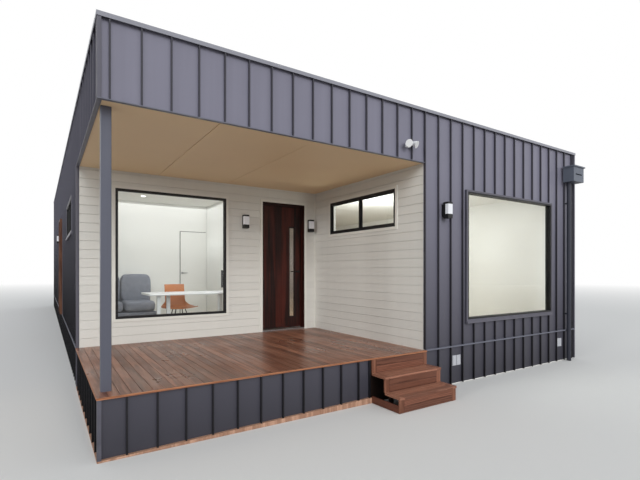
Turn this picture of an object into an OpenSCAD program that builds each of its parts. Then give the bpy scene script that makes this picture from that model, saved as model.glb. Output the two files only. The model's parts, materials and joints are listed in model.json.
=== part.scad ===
// Single-storey beach house with a corner porch cut into its front.
// The body is a long metal-clad box under a roof that falls to the front, behind a level parapet.
// Lengths are in millimetres. X runs along the front, Y into the depth and Z up from the ground.
// Places are measured from the front left corner of the house, at the tips of the cladding seams.

/* [House] */
// Width of the front over the seam tips
house_w = 8210; // [7900:10:8900]
// Length of the house from front to back over the seam tips
house_l = 19875; // [16000:25:24000]
// Height of the deck over the ground
deck_h = 570; // [480:10:690]
// Height of the porch ceiling over the deck
ceiling_h = 2635; // [2580:5:2760]
// Height of the front above the porch ceiling
fascia_h = 755; // [700:5:900]
// Fall of the roof towards the front in degrees
roof_pitch = 3; // [1:0.5:5]
// Thickness of a framed and lined wall
wall_t = 110; // [90:5:160]
// Gap between the cladding and the ground
ground_gap = 15; // [5:5:30]

/* [Cladding] */
// Cover width of one cladding pan, seam to seam
seam_pitch = 266.5; // [240:0.5:300]
// Height of a standing seam
seam_h = 35; // [25:1:45]
// Thickness of a seam's web
seam_web = 8; // [6:1:12]
// Width of the folded bead along a seam's tip
seam_bead = 15; // [13:1:20]
// Depth of that bead
seam_bead_h = 11; // [8:1:16]
// Thickness of the cladding skin
skin_t = 6; // [3:1:10]
// First seam of the front and of the long sides, from the left and from the front
seam_first = 102; // [85:1:140]
// First seam of the skirting under the deck
skirting_first = 242; // [150:1:265]
// Distance of the skirting's last seam from the steps
skirting_last = 30; // [20:1:60]
// How far a sheet laps behind a corner flashing
corner_lap = 10; // [6:1:15]
// Sheet of the corner and cap flashings
flashing_t = 4; // [2:1:6]
// Height of the strip that parts the wall sheets from the base sheets
floor_strip_h = 20; // [14:1:30]
// Height of the strip under the cladding over the porch
drip_h = 8; // [4:1:9]

/* [Roof] */
// How far the cap flashing stands out past the seams
cap_over = 6; // [5:1:12]
// Height of the cap flashing's face
cap_face = 42; // [40:1:80]
// Height of the cap over the roof beside it
upstand_h = 180; // [140:5:240]
// Thickness of the roof under the sheeting
roof_t = 120; // [90:5:180]
// Height of the roof sheeting's ribs
rib_h = 29; // [20:1:40]
// Spacing of those ribs
rib_pitch = 190; // [150:5:250]
// Width of a rib's flat top
rib_top = 24; // [16:1:40]
// Width of a rib at its foot
rib_foot = 52; // [44:1:70]
// Clear width of the box gutter behind the front
gutter_w = 300; // [220:10:400]
// Sheet of the gutter and of the rainhead
gutter_t = 6; // [3:1:8]
// Thickness of the boards that the gutter lies in
gutter_board_t = 18; // [12:1:25]
// Thickness of the ceiling sheets
ceiling_t = 16; // [10:1:25]
// Depth of the floor with its joists
floor_t = 240; // [180:10:300]
// Height of the inside floor over the deck
floor_step = 20; // [10:1:24]
// Thickness of the inner walls
inner_t = 90; // [70:5:120]
// Place of the inner wall behind the porch room from the front
inner_y = 5750; // [5000:10:6500]
// Distance of the inner wall beside the entrance from the front door
inner_edge = 104; // [94:1:400]
// Length of that wall
inner_l = 1340; // [800:10:1600]

/* [Porch] */
// Width of the porch from the left seam tips to its right wall
porch_w = 4090; // [3950:5:4200]
// Depth of the porch from the front seam tips to its back wall
porch_d = 2890; // [2600:10:3300]
// Thickness of the wall boards
board_t = 14; // [10:1:20]
// Thickness of the decking
deck_t = 20; // [19:1:36]
// Thickness of the bearers round the deck
bearer_t = 90; // [45:5:120]
// Thickness of a joist
joist_t = 45; // [35:5:70]
// Spacing of the joists
joist_pitch = 450; // [350:10:600]
// Height of the timber board along the ground where it meets the steps
base_board_h = 68; // [40:1:90]
// Height of that board at the left corner
base_board_low = 15; // [12:1:38]
// Side of the square porch post
post_w = 90; // [65:5:120]
// Place of the post from the left
post_x = 49; // [45:1:200]
// Place of the post from the front
post_y = 191; // [120:1:320]
// Bevel on the post's corners
post_bevel = 6; // [3:1:12]

/* [Steps] */
// Width of the steps
step_w = 1000; // [800:10:1200]
// Going of one tread
step_go = 256; // [240:1:300]
// Treads between the ground and the deck
step_count = 2; // [1:1:3]
// Thickness of a tread
tread_t = 32; // [25:1:45]
// Overhang of a tread past its riser
nosing = 12; // [5:1:25]
// Thickness of the risers and of the rails along the ground
riser_t = 24; // [18:1:35]
// Height of the rails along the ground
step_rail_h = 90; // [60:1:110]
// How far the steps run past the porch's right end
step_past = 22; // [10:1:40]
// Distance of the frames under the treads from the ends of the treads
step_frame_in = 120; // [60:10:200]

/* [Windows] */
// Place of the front window from the left
front_window_x = 5005; // [4800:5:5100]
// Sill of the front window over the deck
front_window_z = 376; // [300:1:450]
// Distance of the front window from the right corner
front_window_edge = 850; // [600:1:1200]
// Height of the front window
front_window_h = 1949; // [1700:1:1990]
// Place of the porch window from the left
porch_window_x = 515; // [400:5:700]
// Sill of the porch window over the deck
porch_window_z = 383; // [300:1:450]
// Width of the porch window
porch_window_w = 1748; // [1500:1:1900]
// Height of the porch window
porch_window_h = 1987; // [1700:1:2000]
// Place of the high window in the porch's side wall from the front
high_window_y = 607; // [400:1:700]
// Sill of the high windows over the deck
high_window_z = 1793; // [1700:1:1850]
// Width of the high windows
high_window_w = 1742; // [1500:1:1800]
// Height of the high windows
high_window_h = 577; // [400:1:600]
// Place of the left wall's high window from the front
left_window_y = 4100; // [3400:10:5000]
// Place of the right wall's front high window from the front
right_high_a_y = 3200; // [2000:10:4000]
// Place of the right wall's large window from the front
right_window_y = 8900; // [7500:10:10000]
// Place of the right wall's back high window from the front
right_high_b_y = 14000; // [12500:10:14100]
// Place of the back wall's window from the left
back_window_x = 3230; // [1000:10:5500]
// Face width of a window frame in the cladding
clad_frame_face = 25; // [22:1:60]
// Face width of a window frame in the porch
porch_frame_face = 38; // [30:1:60]
// Depth of a window frame in the cladding
clad_frame_d = 104; // [90:1:130]
// Depth of a window frame in the porch
porch_frame_d = 60; // [45:1:80]
// Width of the bar between two panes
mullion_w = 40; // [30:1:60]
// Thickness of the glass
glass_t = 10; // [6:1:16]
// How deep the glass sits in its frame
glass_bite = 12; // [8:1:20]
// Face width of the metal surround of a window or door in the cladding
surround_w = 25; // [20:1:60]
// Face width of that surround's lower part
sill_w = 60; // [30:1:80]
// How far that surround stands out past the seams
surround_over = 5; // [5:1:20]
// How far the lower edge of a surround stands out past its face
sill_over = 14; // [8:1:20]
// Face width of the timber trim round the porch's openings
trim_w = 43; // [30:1:60]
// How far that trim stands out past the boards
trim_over = 12; // [8:1:20]

/* [Doors] */
// Distance of the front door from the porch's right wall
door_edge = 244; // [200:1:300]
// Width of a door opening
door_w = 892; // [820:1:950]
// Head of the door openings over the deck
door_head = 2384; // [2372:1:2450]
// Place of the side door from the front
side_door_y = 8250; // [7000:10:10000]
// Thickness of a door leaf
leaf_t = 40; // [35:1:50]
// Thickness of a jamb
jamb_t = 21; // [18:1:30]
// Running gap round a leaf
leaf_gap = 6; // [5:0.5:6.5]
// Width of a door stop
stop_w = 14; // [12:1:20]
// Depth of a door stop
stop_d = 18; // [12:1:25]
// Height of a door sill over the deck
sill_h = 28; // [26:1:30]
// Width of the glass strip in the front door
lite_w = 100; // [60:1:120]
// Height of that strip
lite_h = 1690; // [1400:10:1800]
// Lower end of that strip over the deck
lite_z = 250; // [200:5:400]
// Distance of that strip from the leaf's lock edge
lite_edge = 152; // [110:1:200]
// Height of the door lever over the deck
lever_z = 1105; // [950:5:1150]
// Distance of the lever's spindle from the lock edge
lever_edge = 60; // [45:1:80]
// Length of the lever
lever_l = 125; // [100:1:140]
// Radius of the lever's bar
lever_r = 9; // [7:0.5:11]
// Radius of the rose behind the lever
rose_r = 26; // [22:1:30]
// Thickness of that rose
rose_t = 8; // [5:1:12]
// How far the lever stands off the leaf
lever_off = 50; // [40:1:60]
// Radius of a hinge knuckle
knuckle_r = 8; // [7:0.5:8.5]
// Radius of a hinge pin
pin_r = 4; // [3:0.5:5]
// Running gap in a hinge
pin_gap = 0.3; // [0.2:0.05:0.5]
// Thickness of a hinge plate
hinge_plate_t = 3; // [2:0.5:4]
// Height of one hinge half
hinge_h = 50; // [40:1:60]
// Length of a hinge plate
hinge_leaf = 30; // [22:1:36]
// Distance from a leaf's ends to its outer hinges
hinge_inset = 220; // [150:10:300]

/* [Fittings] */
// Width of a wall light
light_w = 95; // [80:1:120]
// Height of a wall light
light_h = 235; // [200:5:320]
// Depth of a wall light's lamp body past the seams or boards
light_d = 92; // [70:1:120]
// Depth of the light's back part
light_back = 40; // [10:1:50]
// Height of the light's top
light_top = 28; // [8:1:40]
// Height of the light's foot
light_foot = 62; // [8:1:70]
// Half the width of the light's back box
light_box_half = 32; // [25:1:40]
// Distance of that box from the light's top and bottom
light_box_in = 30; // [20:1:60]
// Middle of the wall lights over the deck
light_z = 1990; // [1900:1:2100]
// Distance of the light on the left wall from the side door
light_d_gap = 300; // [200:10:500]
// Width of the rainhead
rain_w = 363; // [300:1:400]
// Depth of the rainhead past the seams
rain_d = 190; // [150:1:240]
// Height of the rainhead
rain_h = 290; // [270:1:330]
// Height of the rainhead's underside over the deck
rain_z = 2778; // [2740:1:2800]
// Distance of the rainhead from the right corner
rain_edge = 70; // [60:1:120]
// Height of the rim round the rainhead
rim_h = 22; // [15:1:30]
// How far that rim stands out
rim_over = 20; // [6:1:30]
// Height of the overflow slot
slot_h = 22; // [15:1:30]
// Width of the overflow slot and of the outlet from the gutter
slot_w = 230; // [150:5:260]
// Height of that slot over the rainhead's underside
slot_rise = 122; // [60:1:160]
// Height of the outlet from the gutter into the rainhead
outlet_h = 80; // [60:1:100]
// Distance of the downpipe's axis from the rainhead's left side
pipe_in = 113; // [100:1:150]
// Outer radius of the downpipe
pipe_r = 38; // [32:1:45]
// Wall of the downpipe
pipe_t = 3; // [2:0.5:5]
// Gap between the downpipe and the seams
pipe_off = 8; // [7:1:12]
// Height of the pipe brackets' straps
strap_h = 26; // [20:1:40]
// Places of the brackets over the deck
strap_low = 295; // [200:5:400]
// Place of the upper bracket over the deck
strap_high = 2374; // [2000:5:2500]
// Middle of the floodlight from the porch's right end
flood_edge = 328; // [150:1:600]
// Middle of the floodlight over the deck
flood_z = 2828; // [2790:1:2950]
// Radius of a floodlight head
flood_r = 50; // [34:1:54]
// Length of a floodlight head
flood_l = 66; // [50:1:90]
// Radius of a floodlight head at its back
flood_neck_r = 28; // [20:1:30]
// Distance of a head's back from the joint it turns on
flood_neck = 25; // [23:1:30]
// Half the spread between the two heads
flood_spread = 38; // [36:1:60]
// Angle of the heads under the level
flood_tilt = 25; // [0:5:45]
// Angle of the heads to either side
flood_turn = 25; // [15:5:40]
// Width of the floodlight's base
flood_base_w = 60; // [50:1:66]
// Height of the floodlight's base
flood_base_h = 60; // [50:1:90]
// Radius of the arms that carry the heads
flood_arm_r = 9; // [6:1:12]
// Radius of the sensor under the base
sensor_r = 20; // [14:1:25]
// Middle of the pair of vents from the porch's right end
vent_pair_edge = 686; // [200:1:800]
// Middle of the single vent from the right corner
vent_single_edge = 530; // [150:1:800]
// Width of one vent of the pair
vent_w = 85; // [70:1:90]
// Height of the vents
vent_h = 150; // [120:1:170]
// Middle of the vents under the deck
vent_drop = 218; // [180:1:260]
// Gap between the vents of the pair
vent_gap = 10; // [6:1:20]
// How far a vent stands off the pan
vent_t = 10; // [6:1:15]

/* [Hidden] */
$fn = 48;

// How far a cutting shape runs past what it cuts, the gap between sheets that end together,
// and the gap under what lies on a slope
cut = 5;
joint_gap = 2;
slope_gap = 0.3;
leaf_bottom = deck_h + sill_h + leaf_gap;
face_d = seam_h + skin_t;
wall_in = face_d + wall_t;
front_top = deck_h + ceiling_h + fascia_h;
ceiling_z = deck_h + ceiling_h;
floor_z = deck_h + floor_step;
strip_low = deck_h - floor_strip_h / 2;
strip_high = deck_h + floor_strip_h / 2;
back_z = roof_z(house_l);
porch_x = porch_w + board_t;
porch_y = porch_d + board_t;
side_wall_x = porch_x + wall_t;
back_wall_y = porch_y + wall_t;
gutter_back = wall_in + gutter_w;
rain_top = deck_h + rain_z + rain_h;
outlet_z = rain_top - rim_h - outlet_h - gutter_t;
gutter_z = outlet_z - gutter_t;
rain_x = house_w - rain_edge - rain_w;
outlet_x = rain_x + (rain_w - slot_w) / 2;
door_x = porch_w - door_edge - door_w;
inner_x = door_x - inner_edge;
front_window_w = house_w - front_window_edge - front_window_x;
step_end = porch_w + step_past;
step_x = step_end - step_w;
step_rise = deck_h / (step_count + 1);
leaf_w = door_w - 2 * jamb_t - 2 * leaf_gap;
leaf_top = deck_h + door_head - jamb_t - leaf_gap;
leaf_h = leaf_top - leaf_bottom;
leaf_y = wall_t - leaf_t;
hinge_x = jamb_t + leaf_gap / 2;
hinge_y = wall_t + knuckle_r + 1;
step_front = step_count * step_go;
porch_frame_y = -board_t - trim_over / 2;
cap_end = wall_in + cap_over + joint_gap;
sheet_in = seam_h - corner_lap;
pipe_x = on_pan(rain_x + pipe_in, strap_h / 2);
pipe_y = -pipe_off - pipe_r;
sill_reach = surround_over + sill_over;
mid_x = (house_w + sill_reach - light_d) / 2;
mid_y = (house_l + sill_reach - step_front) / 2;

// Height of the cap's top over the ground at a depth y
function roof_z(y) = front_top + y * tan(roof_pitch);

// Height of the roof's upper face at a depth y
function deck_top(y) = roof_z(y) - upstand_h;

// Seams between two places along a run, kept clear of both ends
function seams(start, stop, first) = [
    for (i = [0:ceil(house_l / seam_pitch)])
        let (s = first + i * seam_pitch)
            if (s > start + seam_h + seam_bead && s < stop - seam_h - seam_bead) s
];

// Place nearest to s where a piece of that half width stands on a pan, clear of the seams
function on_pan(s, half) =
    let (
        seam = seam_first + floor((s - seam_first) / seam_pitch) * seam_pitch,
        room = seam_bead / 2 + joint_gap + half
    )
    max(seam + room, min(seam + seam_pitch - room, s));

// Box between two corners
module block(x1, x2, y1, y2, z1, z2) {
    translate([x1, y1, z1]) cube([x2 - x1, y2 - y1, z2 - z1]);
}

// Upright shape in the YZ plane, carried along X
module side_shape(x1, x2, points) {
    translate([x1, 0, 0]) rotate([90, 0, 90]) linear_extrude(x2 - x1) polygon(points);
}

// Upright shape in the XZ plane, carried along Y
module front_shape(y1, y2, points) {
    translate([0, y2, 0]) rotate([90, 0, 0]) linear_extrude(y2 - y1) polygon(points);
}

// Side view of what stands between a height and the underside of the roof
function under_roof(y1, y2, z1) = [
    [y1, z1], [y2, z1], [y2, deck_top(y2) - roof_t], [y1, deck_top(y1) - roof_t]
];

// Side view of what stands between a height and the underside of the caps, level at the front
function under_caps(y1, y2, z1) = concat(
    [[y1, z1], [y2, z1], [y2, cap_under(y2)]],
    y1 < cap_end ? [[cap_end, cap_under(cap_end)], [cap_end, front_top - flashing_t]] : [],
    [[y1, y1 < cap_end ? front_top - flashing_t : cap_under(y1)]]
);

// Height of what the sloping cap covers at a depth y
function cap_under(y) = roof_z(y) - flashing_t - slope_gap;

// Puts a piece on one face of the house: its X runs along the face, left to right from outside,
// and its Y runs inwards from the face
module on_face(side, start, width, z) {
    if (side == "front") translate([start, face_d, z]) children();
    if (side == "left") translate([face_d, start + width, z]) rotate(-90) children();
    if (side == "right") translate([house_w - face_d, start, z]) rotate(90) children();
    if (side == "back") translate([start + width, house_l - face_d, z]) rotate(180) children();
    if (side == "porch_back") translate([start, porch_y, z]) children();
    if (side == "porch_side") translate([porch_x, start + width, z]) rotate(-90) children();
}

// Top of the board along the ground in front of the porch
function board_top(x) = base_board_low + (base_board_h - base_board_low) * x / step_x;

// Front view of what that board covers up to a margin over its top
function under_board(margin) = [
    [0, 0], [step_x, 0], [step_x, board_top(step_x) + margin], [0, board_top(0) + margin]
];

// Middle of the pan that holds a place
function pan_middle(s) = seam_first + (floor((s - seam_first) / seam_pitch) + 0.5) * seam_pitch;

// Windows as face, start, sill over the deck, width, height and number of panes
front_window = ["front", front_window_x, front_window_z, front_window_w, front_window_h, 1];
porch_window = ["porch_back", porch_window_x, porch_window_z, porch_window_w, porch_window_h, 1];
porch_high = ["porch_side", high_window_y, high_window_z, high_window_w, high_window_h, 2];
left_windows = [["left", left_window_y, high_window_z, high_window_w, high_window_h, 2]];
right_windows = [
    ["right", right_high_a_y, high_window_z, high_window_w, high_window_h, 2],
    ["right", right_window_y, porch_window_z, porch_window_w, porch_window_h, 1],
    ["right", right_high_b_y, high_window_z, high_window_w, high_window_h, 2]
];
back_windows = [["back", back_window_x, porch_window_z, porch_window_w, porch_window_h, 1]];
clad_windows = concat([front_window], left_windows, right_windows, back_windows);
porch_windows = [porch_window, porch_high];

module at_window(w) {
    on_face(w[0], w[1], w[3], deck_h + w[2]) children();
}

// Holes that windows need in a wall
module window_holes(list) {
    for (w = list)
        at_window(w) block(0, w[3], -cut, wall_t + cut, 0, w[4]);
}

// Holes that windows and their surrounds need in the cladding
module surround_holes(list) {
    for (w = list)
        at_window(w)
            block(-surround_w, w[3] + surround_w, -face_d - cut, cut, -sill_w, w[4] + surround_w);
}

// Width of one pane of a window with that frame
function pane_width(w, face) = (w[3] - 2 * face - (w[5] - 1) * mullion_w) / w[5];

// Frame of one window with a groove for its glass
module window_frame(w, face, front, depth) {
    difference() {
        block(0, w[3], front, front + depth, 0, w[4]);
        for (i = [0:w[5] - 1]) {
            x = face + i * (pane_width(w, face) + mullion_w);
            block(x, x + pane_width(w, face), front - cut, front + depth + cut, face, w[4] - face);
        }
        window_panes(w, face, front + depth / 2);
    }
}

// Panes of one window, from groove to groove, about their middle depth
module window_panes(w, face, middle) {
    z = face - glass_bite;
    for (i = [0:w[5] - 1]) {
        x = face + i * (pane_width(w, face) + mullion_w);
        block(x - glass_bite, x + pane_width(w, face) + glass_bite,
            middle - glass_t / 2, middle + glass_t / 2, z, w[4] - z);
    }
}

// Metal surround, closed on four sides and with a sill that stands out further
module window_surround(width, height) {
    out = face_d + surround_over;
    difference() {
        union() {
            block(-surround_w, width + surround_w, -out, 0, -sill_w, height + surround_w);
            block(-surround_w, width + surround_w, -out - sill_over, 0, -sill_w, -sill_w / 2);
        }
        block(0, width, -out - cut, cut, 0, height);
    }
}

// Outline of one seam, from the pan on its left to the pan on its right
function seam_outline(s) = [
    [s - seam_web / 2, seam_h], [s - seam_web / 2, seam_bead_h],
    [s - seam_bead / 2, seam_bead_h], [s - seam_bead / 2, 0],
    [s + seam_bead / 2, 0], [s + seam_bead / 2, seam_bead_h],
    [s + seam_web / 2, seam_bead_h], [s + seam_web / 2, seam_h]
];

// Plan of standing-seam sheet: pans along X with their outer face at seam_h and seams out to zero
module seam_plan(start, stop, first) {
    outer = [for (s = seams(start, stop, first)) each seam_outline(s)];
    polygon(concat([[start, face_d], [start, seam_h]], outer, [[stop, seam_h], [stop, face_d]]));
}

// Seamed sheet along the front between two places and two heights
module seam_sheet(start, stop, first, z1, z2) {
    translate([0, 0, z1]) linear_extrude(z2 - z1) seam_plan(start, stop, first);
}

// One seam that ends a sheet, with the web it stands on
module edge_seam(s, z1, z2) {
    foot = seam_web / 2;
    translate([0, 0, z1]) linear_extrude(z2 - z1)
        polygon(concat([[s - foot, face_d]], seam_outline(s), [[s + foot, face_d]]));
}

// Wall sheet and base sheet of one face, parted by the floor strip
module clad_face(start, stop, first, top) {
    seam_sheet(start, stop, first, ground_gap, strip_low);
    seam_sheet(start, stop, first, strip_high, top);
}

// The same, turned onto the left side
module on_left_run() {
    mirror([1, -1, 0]) children();
}

// The same, turned onto the back
module on_back_run() {
    translate([0, house_l, 0]) mirror([0, 1, 0]) children();
}

// Room under the caps for the side cladding
module cap_room() {
    side_shape(-cut, face_d + cut, under_caps(0, house_l, 0));
}

// Folded hollow corner that stands as deep as the seams
module corner_angle(z1, z2) {
    translate([0, 0, z1]) linear_extrude(z2 - z1) difference() {
        square(seam_h);
        translate([flashing_t, flashing_t]) square(seam_h - 2 * flashing_t);
    }
}

// Walls

// Front wall, open at its upper right corner where the gutter's outlet and the boards over it are
module front_wall() {
    color("white") difference() {
        block(porch_x, house_w - wall_in, face_d, wall_in, 0, front_top - flashing_t);
        window_holes([front_window]);
        block(outlet_x, house_w, 0, gutter_back, outlet_z, front_top);
    }
}

// Two lengths of wall, before and behind the side door
module left_wall() {
    color("white") difference() {
        for (y = [[porch_y, side_door_y], [side_door_y + door_w, house_l - face_d]])
            side_shape(face_d, wall_in, under_caps(y[0], y[1], 0));
        window_holes(left_windows);
    }
}

module right_wall() {
    color("white") difference() {
        side_shape(house_w - wall_in, house_w - face_d, under_caps(face_d, house_l - face_d, 0));
        window_holes(right_windows);
    }
}

module back_wall() {
    color("white") difference() {
        side_shape(wall_in, house_w - wall_in, under_caps(house_l - wall_in, house_l - face_d, 0));
        window_holes(back_windows);
    }
}

module porch_side_wall() {
    y = gutter_back + gutter_board_t;
    z = gutter_z - gutter_board_t;
    color("ivory") difference() {
        side_shape(porch_x, side_wall_x, concat(
            [[y, z], [wall_in, z], [wall_in, 0]],
            under_roof(y, back_wall_y, 0)
        ));
        window_holes([porch_high]);
    }
}

// Two lengths of wall, left and right of the front door
module porch_back_wall() {
    color("ivory") difference() {
        for (x = [[wall_in, door_x], [door_x + door_w, porch_x]])
            side_shape(x[0], x[1], under_roof(porch_y, back_wall_y, 0));
        window_holes([porch_window]);
    }
}

// What is over and under the two doorways
module doorway_walls() {
    head = deck_h + door_head;
    side_end = side_door_y + door_w;
    color("ivory") {
        side_shape(door_x, door_x + door_w, under_roof(porch_y, back_wall_y, head));
        block(door_x, door_x + door_w, porch_y, back_wall_y, 0, deck_h);
        side_shape(face_d, wall_in, under_caps(side_door_y, side_end, head));
        block(face_d, wall_in, side_door_y, side_end, 0, strip_high);
    }
}

// Two inner walls that show through the porch window, with a passage left in front of them
module inner_walls() {
    color("white") {
        block(wall_in, inner_x - joint_gap, inner_y, inner_y + inner_t, floor_z, ceiling_z);
        block(inner_x, inner_x + inner_t, inner_y + inner_t - inner_l, inner_y + inner_t,
            floor_z, ceiling_z);
    }
}

// Two sheets that leave the porch free, between two heights
module inside_sheets(z1, z2) {
    block(wall_in, house_w - wall_in, back_wall_y, house_l - wall_in, z1, z2);
    block(side_wall_x, house_w - wall_in, wall_in, back_wall_y - joint_gap, z1, z2);
}

module floor() {
    color("tan") inside_sheets(floor_z - floor_t, floor_z);
}

module ceiling() {
    color("white") inside_sheets(ceiling_z, ceiling_z + ceiling_t);
}

// Roof

module roof() {
    y2 = house_l - wall_in;
    color("lightgray") side_shape(wall_in, house_w - wall_in,
        cap_slope(gutter_back, y2, upstand_h + roof_t, upstand_h));
}

// Trapezoid-ribbed sheet, drawn across the house and carried down the fall
module roof_sheet() {
    width = house_w - 2 * wall_in - 2 * joint_gap;
    count = floor((width - rib_foot) / rib_pitch);
    first = (width - count * rib_pitch) / 2;
    top = [
        for (i = [0:count])
            let (m = first + i * rib_pitch)
                each [
                    [m - rib_foot / 2, skin_t], [m - rib_top / 2, rib_h],
                    [m + rib_top / 2, rib_h], [m + rib_foot / 2, skin_t]
                ]
    ];
    run = (house_l - wall_in - gutter_back) / cos(roof_pitch) - rib_h;
    color("slategray")
        translate([wall_in + joint_gap, gutter_back, deck_top(gutter_back) + slope_gap])
            rotate([90 + roof_pitch, 0, 0])
                translate([0, 0, -run]) linear_extrude(run)
                    polygon(concat([[0, 0], [0, skin_t]], top, [[width, skin_t], [width, 0]]));
}

module box_gutter() {
    x1 = wall_in;
    x2 = house_w - wall_in;
    color("gray") difference() {
        block(x1, x2, wall_in, gutter_back, gutter_z, deck_top(gutter_back));
        block(x1 + gutter_t, x2 - gutter_t, wall_in + gutter_t, gutter_back - gutter_t,
            outlet_z, back_z);
        gutter_outlet();
    }
}

// Boards under and behind the gutter, and the block in the front wall over its outlet
module gutter_boards() {
    x1 = wall_in;
    x2 = house_w - wall_in;
    y = gutter_back + gutter_board_t;
    color("tan") {
        block(x1, x2, wall_in, y, gutter_z - gutter_board_t, gutter_z);
        block(x1, x2, gutter_back, y, gutter_z, deck_top(gutter_back) - roof_t - slope_gap);
        block(outlet_x, x2, face_d, wall_in, outlet_z + outlet_h, front_top - flashing_t);
    }
}

// Way for the water from the gutter through the front into the rainhead
module gutter_outlet() {
    block(outlet_x, outlet_x + slot_w, -gutter_t - cut, wall_in + gutter_t + cut,
        outlet_z, outlet_z + outlet_h);
}

// Inverted trough over a wall's head along X, open to the side walls where they meet it
module cap_level(y, z) {
    near = flashing_t - cap_over;
    reach = wall_in + cap_over;
    far = reach - flashing_t;
    translate([0, y, z]) difference() {
        block(-cap_over, house_w + cap_over, -cap_over, reach, -cap_face, 0);
        block(near, house_w - near, near, far, -cap_face - cut, -flashing_t);
        for (x = [near, house_w - far])
            block(x, x + far - near, wall_in, reach + cut, -cap_face - cut, -flashing_t);
        block(reach, house_w - reach, wall_in, reach + cut, -cap_face - cut, -cap_face / 2);
    }
}

// The same along the fall, on the left side
module cap_sloped() {
    y1 = cap_end;
    y2 = house_l - cap_end;
    x2 = wall_in + cap_over;
    difference() {
        side_shape(-cap_over, x2, cap_slope(y1, y2, cap_face, 0));
        side_shape(flashing_t - cap_over, x2 - flashing_t,
            cap_slope(y1 - cut, y2 + cut, cap_face + cut, flashing_t));
    }
}

// Side view of a sloping band between two drops under the cap's top
function cap_slope(y1, y2, low, high) = [
    [y1, roof_z(y1) - low], [y2, roof_z(y2) - low], [y2, roof_z(y2) - high], [y1, roof_z(y1) - high]
];

module cap_flashing() {
    color("silver") {
        cap_level(0, front_top);
        translate([0, house_l, 0]) mirror([0, 1, 0]) cap_level(0, back_z);
        cap_sloped();
        translate([house_w, 0, 0]) mirror([1, 0, 0]) cap_sloped();
    }
}

// Cladding

// Wall sheet of the front, with a seam along its edge at the porch, and base sheet beside the steps
module front_cladding() {
    stop = house_w - sheet_in;
    top = front_top - flashing_t;
    color("dimgray") difference() {
        union() {
            seam_sheet(step_end + joint_gap, stop, seam_first, ground_gap, strip_low);
            seam_sheet(porch_w - seam_web / 2, stop, seam_first, strip_high, top);
            edge_seam(porch_w, strip_high, top);
        }
        surround_holes([front_window]);
        gutter_outlet();
    }
}

module fascia_cladding() {
    stop = porch_d + sheet_in - joint_gap;
    color("dimgray") {
        seam_sheet(sheet_in, porch_w - seam_bead / 2 - joint_gap, seam_first, ceiling_z,
            front_top - flashing_t);
        intersection() {
            on_left_run() seam_sheet(face_d + joint_gap, stop, seam_first, ceiling_z, back_z);
            cap_room();
        }
    }
}

module skirting_cladding() {
    top = deck_h - deck_t;
    stop = porch_d + sheet_in - joint_gap;
    color("dimgray") {
        difference() {
            union() {
                seam_sheet(sheet_in, step_x, skirting_first, base_board_low, top);
                edge_seam(step_x - skirting_last, base_board_low, top);
            }
            front_shape(-cut, face_d + cut, under_board(slope_gap));
        }
        on_left_run() seam_sheet(face_d + joint_gap, stop, skirting_first, base_board_low, top);
    }
}

// Long side under its sloping cap, as seen on the left
module side_cladding(start) {
    intersection() {
        on_left_run() clad_face(start, house_l - sheet_in, seam_first, back_z);
        cap_room();
    }
}

module left_cladding() {
    color("dimgray") difference() {
        side_cladding(porch_d + sheet_in);
        surround_holes(left_windows);
        block(-cut, face_d + cut, side_door_y - surround_w, side_door_y + door_w + surround_w,
            strip_high - cut, deck_h + door_head + surround_w);
    }
}

module right_cladding() {
    color("dimgray") difference() {
        translate([house_w, 0, 0]) mirror([1, 0, 0]) side_cladding(face_d + joint_gap);
        surround_holes(right_windows);
    }
}

module back_cladding() {
    stop = house_w - face_d - joint_gap;
    color("dimgray") difference() {
        on_back_run() clad_face(face_d + joint_gap, stop, seam_first, back_z - flashing_t);
        surround_holes(back_windows);
    }
}

module corner_flashings() {
    top = front_top - flashing_t;
    color("gray") {
        corner_angle(ceiling_z, top);
        corner_angle(board_top(seam_h), deck_h - deck_t);
        translate([0, porch_d, 0]) corner_angle(ground_gap, ceiling_z);
        translate([house_w, 0, 0]) mirror([1, 0, 0]) corner_angle(ground_gap, top);
        on_back_run() {
            corner_angle(ground_gap, back_z - flashing_t);
            translate([house_w, 0, 0]) mirror([1, 0, 0]) corner_angle(ground_gap, back_z - flashing_t);
        }
    }
}

// Strip at floor level between the wall sheets and the base sheets, and one under the porch's front
module strip_flashings() {
    out = -cap_over;
    side_start = face_d + joint_gap;
    color("gray") {
        block(step_end, house_w - seam_h, out, face_d, strip_low, strip_high);
        block(out, face_d, porch_d + seam_h, house_l - seam_h, strip_low, strip_high);
        block(house_w - face_d, house_w - out, side_start, house_l - seam_h, strip_low, strip_high);
        block(side_start, house_w - side_start, house_l - face_d, house_l - out, strip_low, strip_high);
        translate([0, 0, ceiling_z - drip_h]) linear_extrude(drip_h) polygon([
            [0, 0], [porch_w - seam_bead, 0], [porch_w - seam_bead, face_d], [face_d, face_d],
            [face_d, porch_d], [0, porch_d]
        ]);
    }
}

// Porch

module porch_ceiling() {
    color("wheat")
        block(face_d, porch_x, face_d, porch_y, ceiling_z, ceiling_z + ceiling_t);
}

module porch_beams() {
    z = ceiling_z + ceiling_t;
    color("tan") {
        block(face_d, porch_x, face_d, wall_in, z, front_top - flashing_t);
        side_shape(face_d, wall_in, under_caps(wall_in + joint_gap, porch_y, z));
    }
}

// Decking, which runs on to the end of the steps under the edge of the wall sheet
module deck() {
    color("sienna") translate([0, 0, deck_h - deck_t]) linear_extrude(deck_t) polygon([
        [-cap_over, -cap_over], [step_end, -cap_over], [step_end, face_d], [porch_w, face_d],
        [porch_w, porch_d], [-cap_over, porch_d]
    ]);
}

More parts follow.
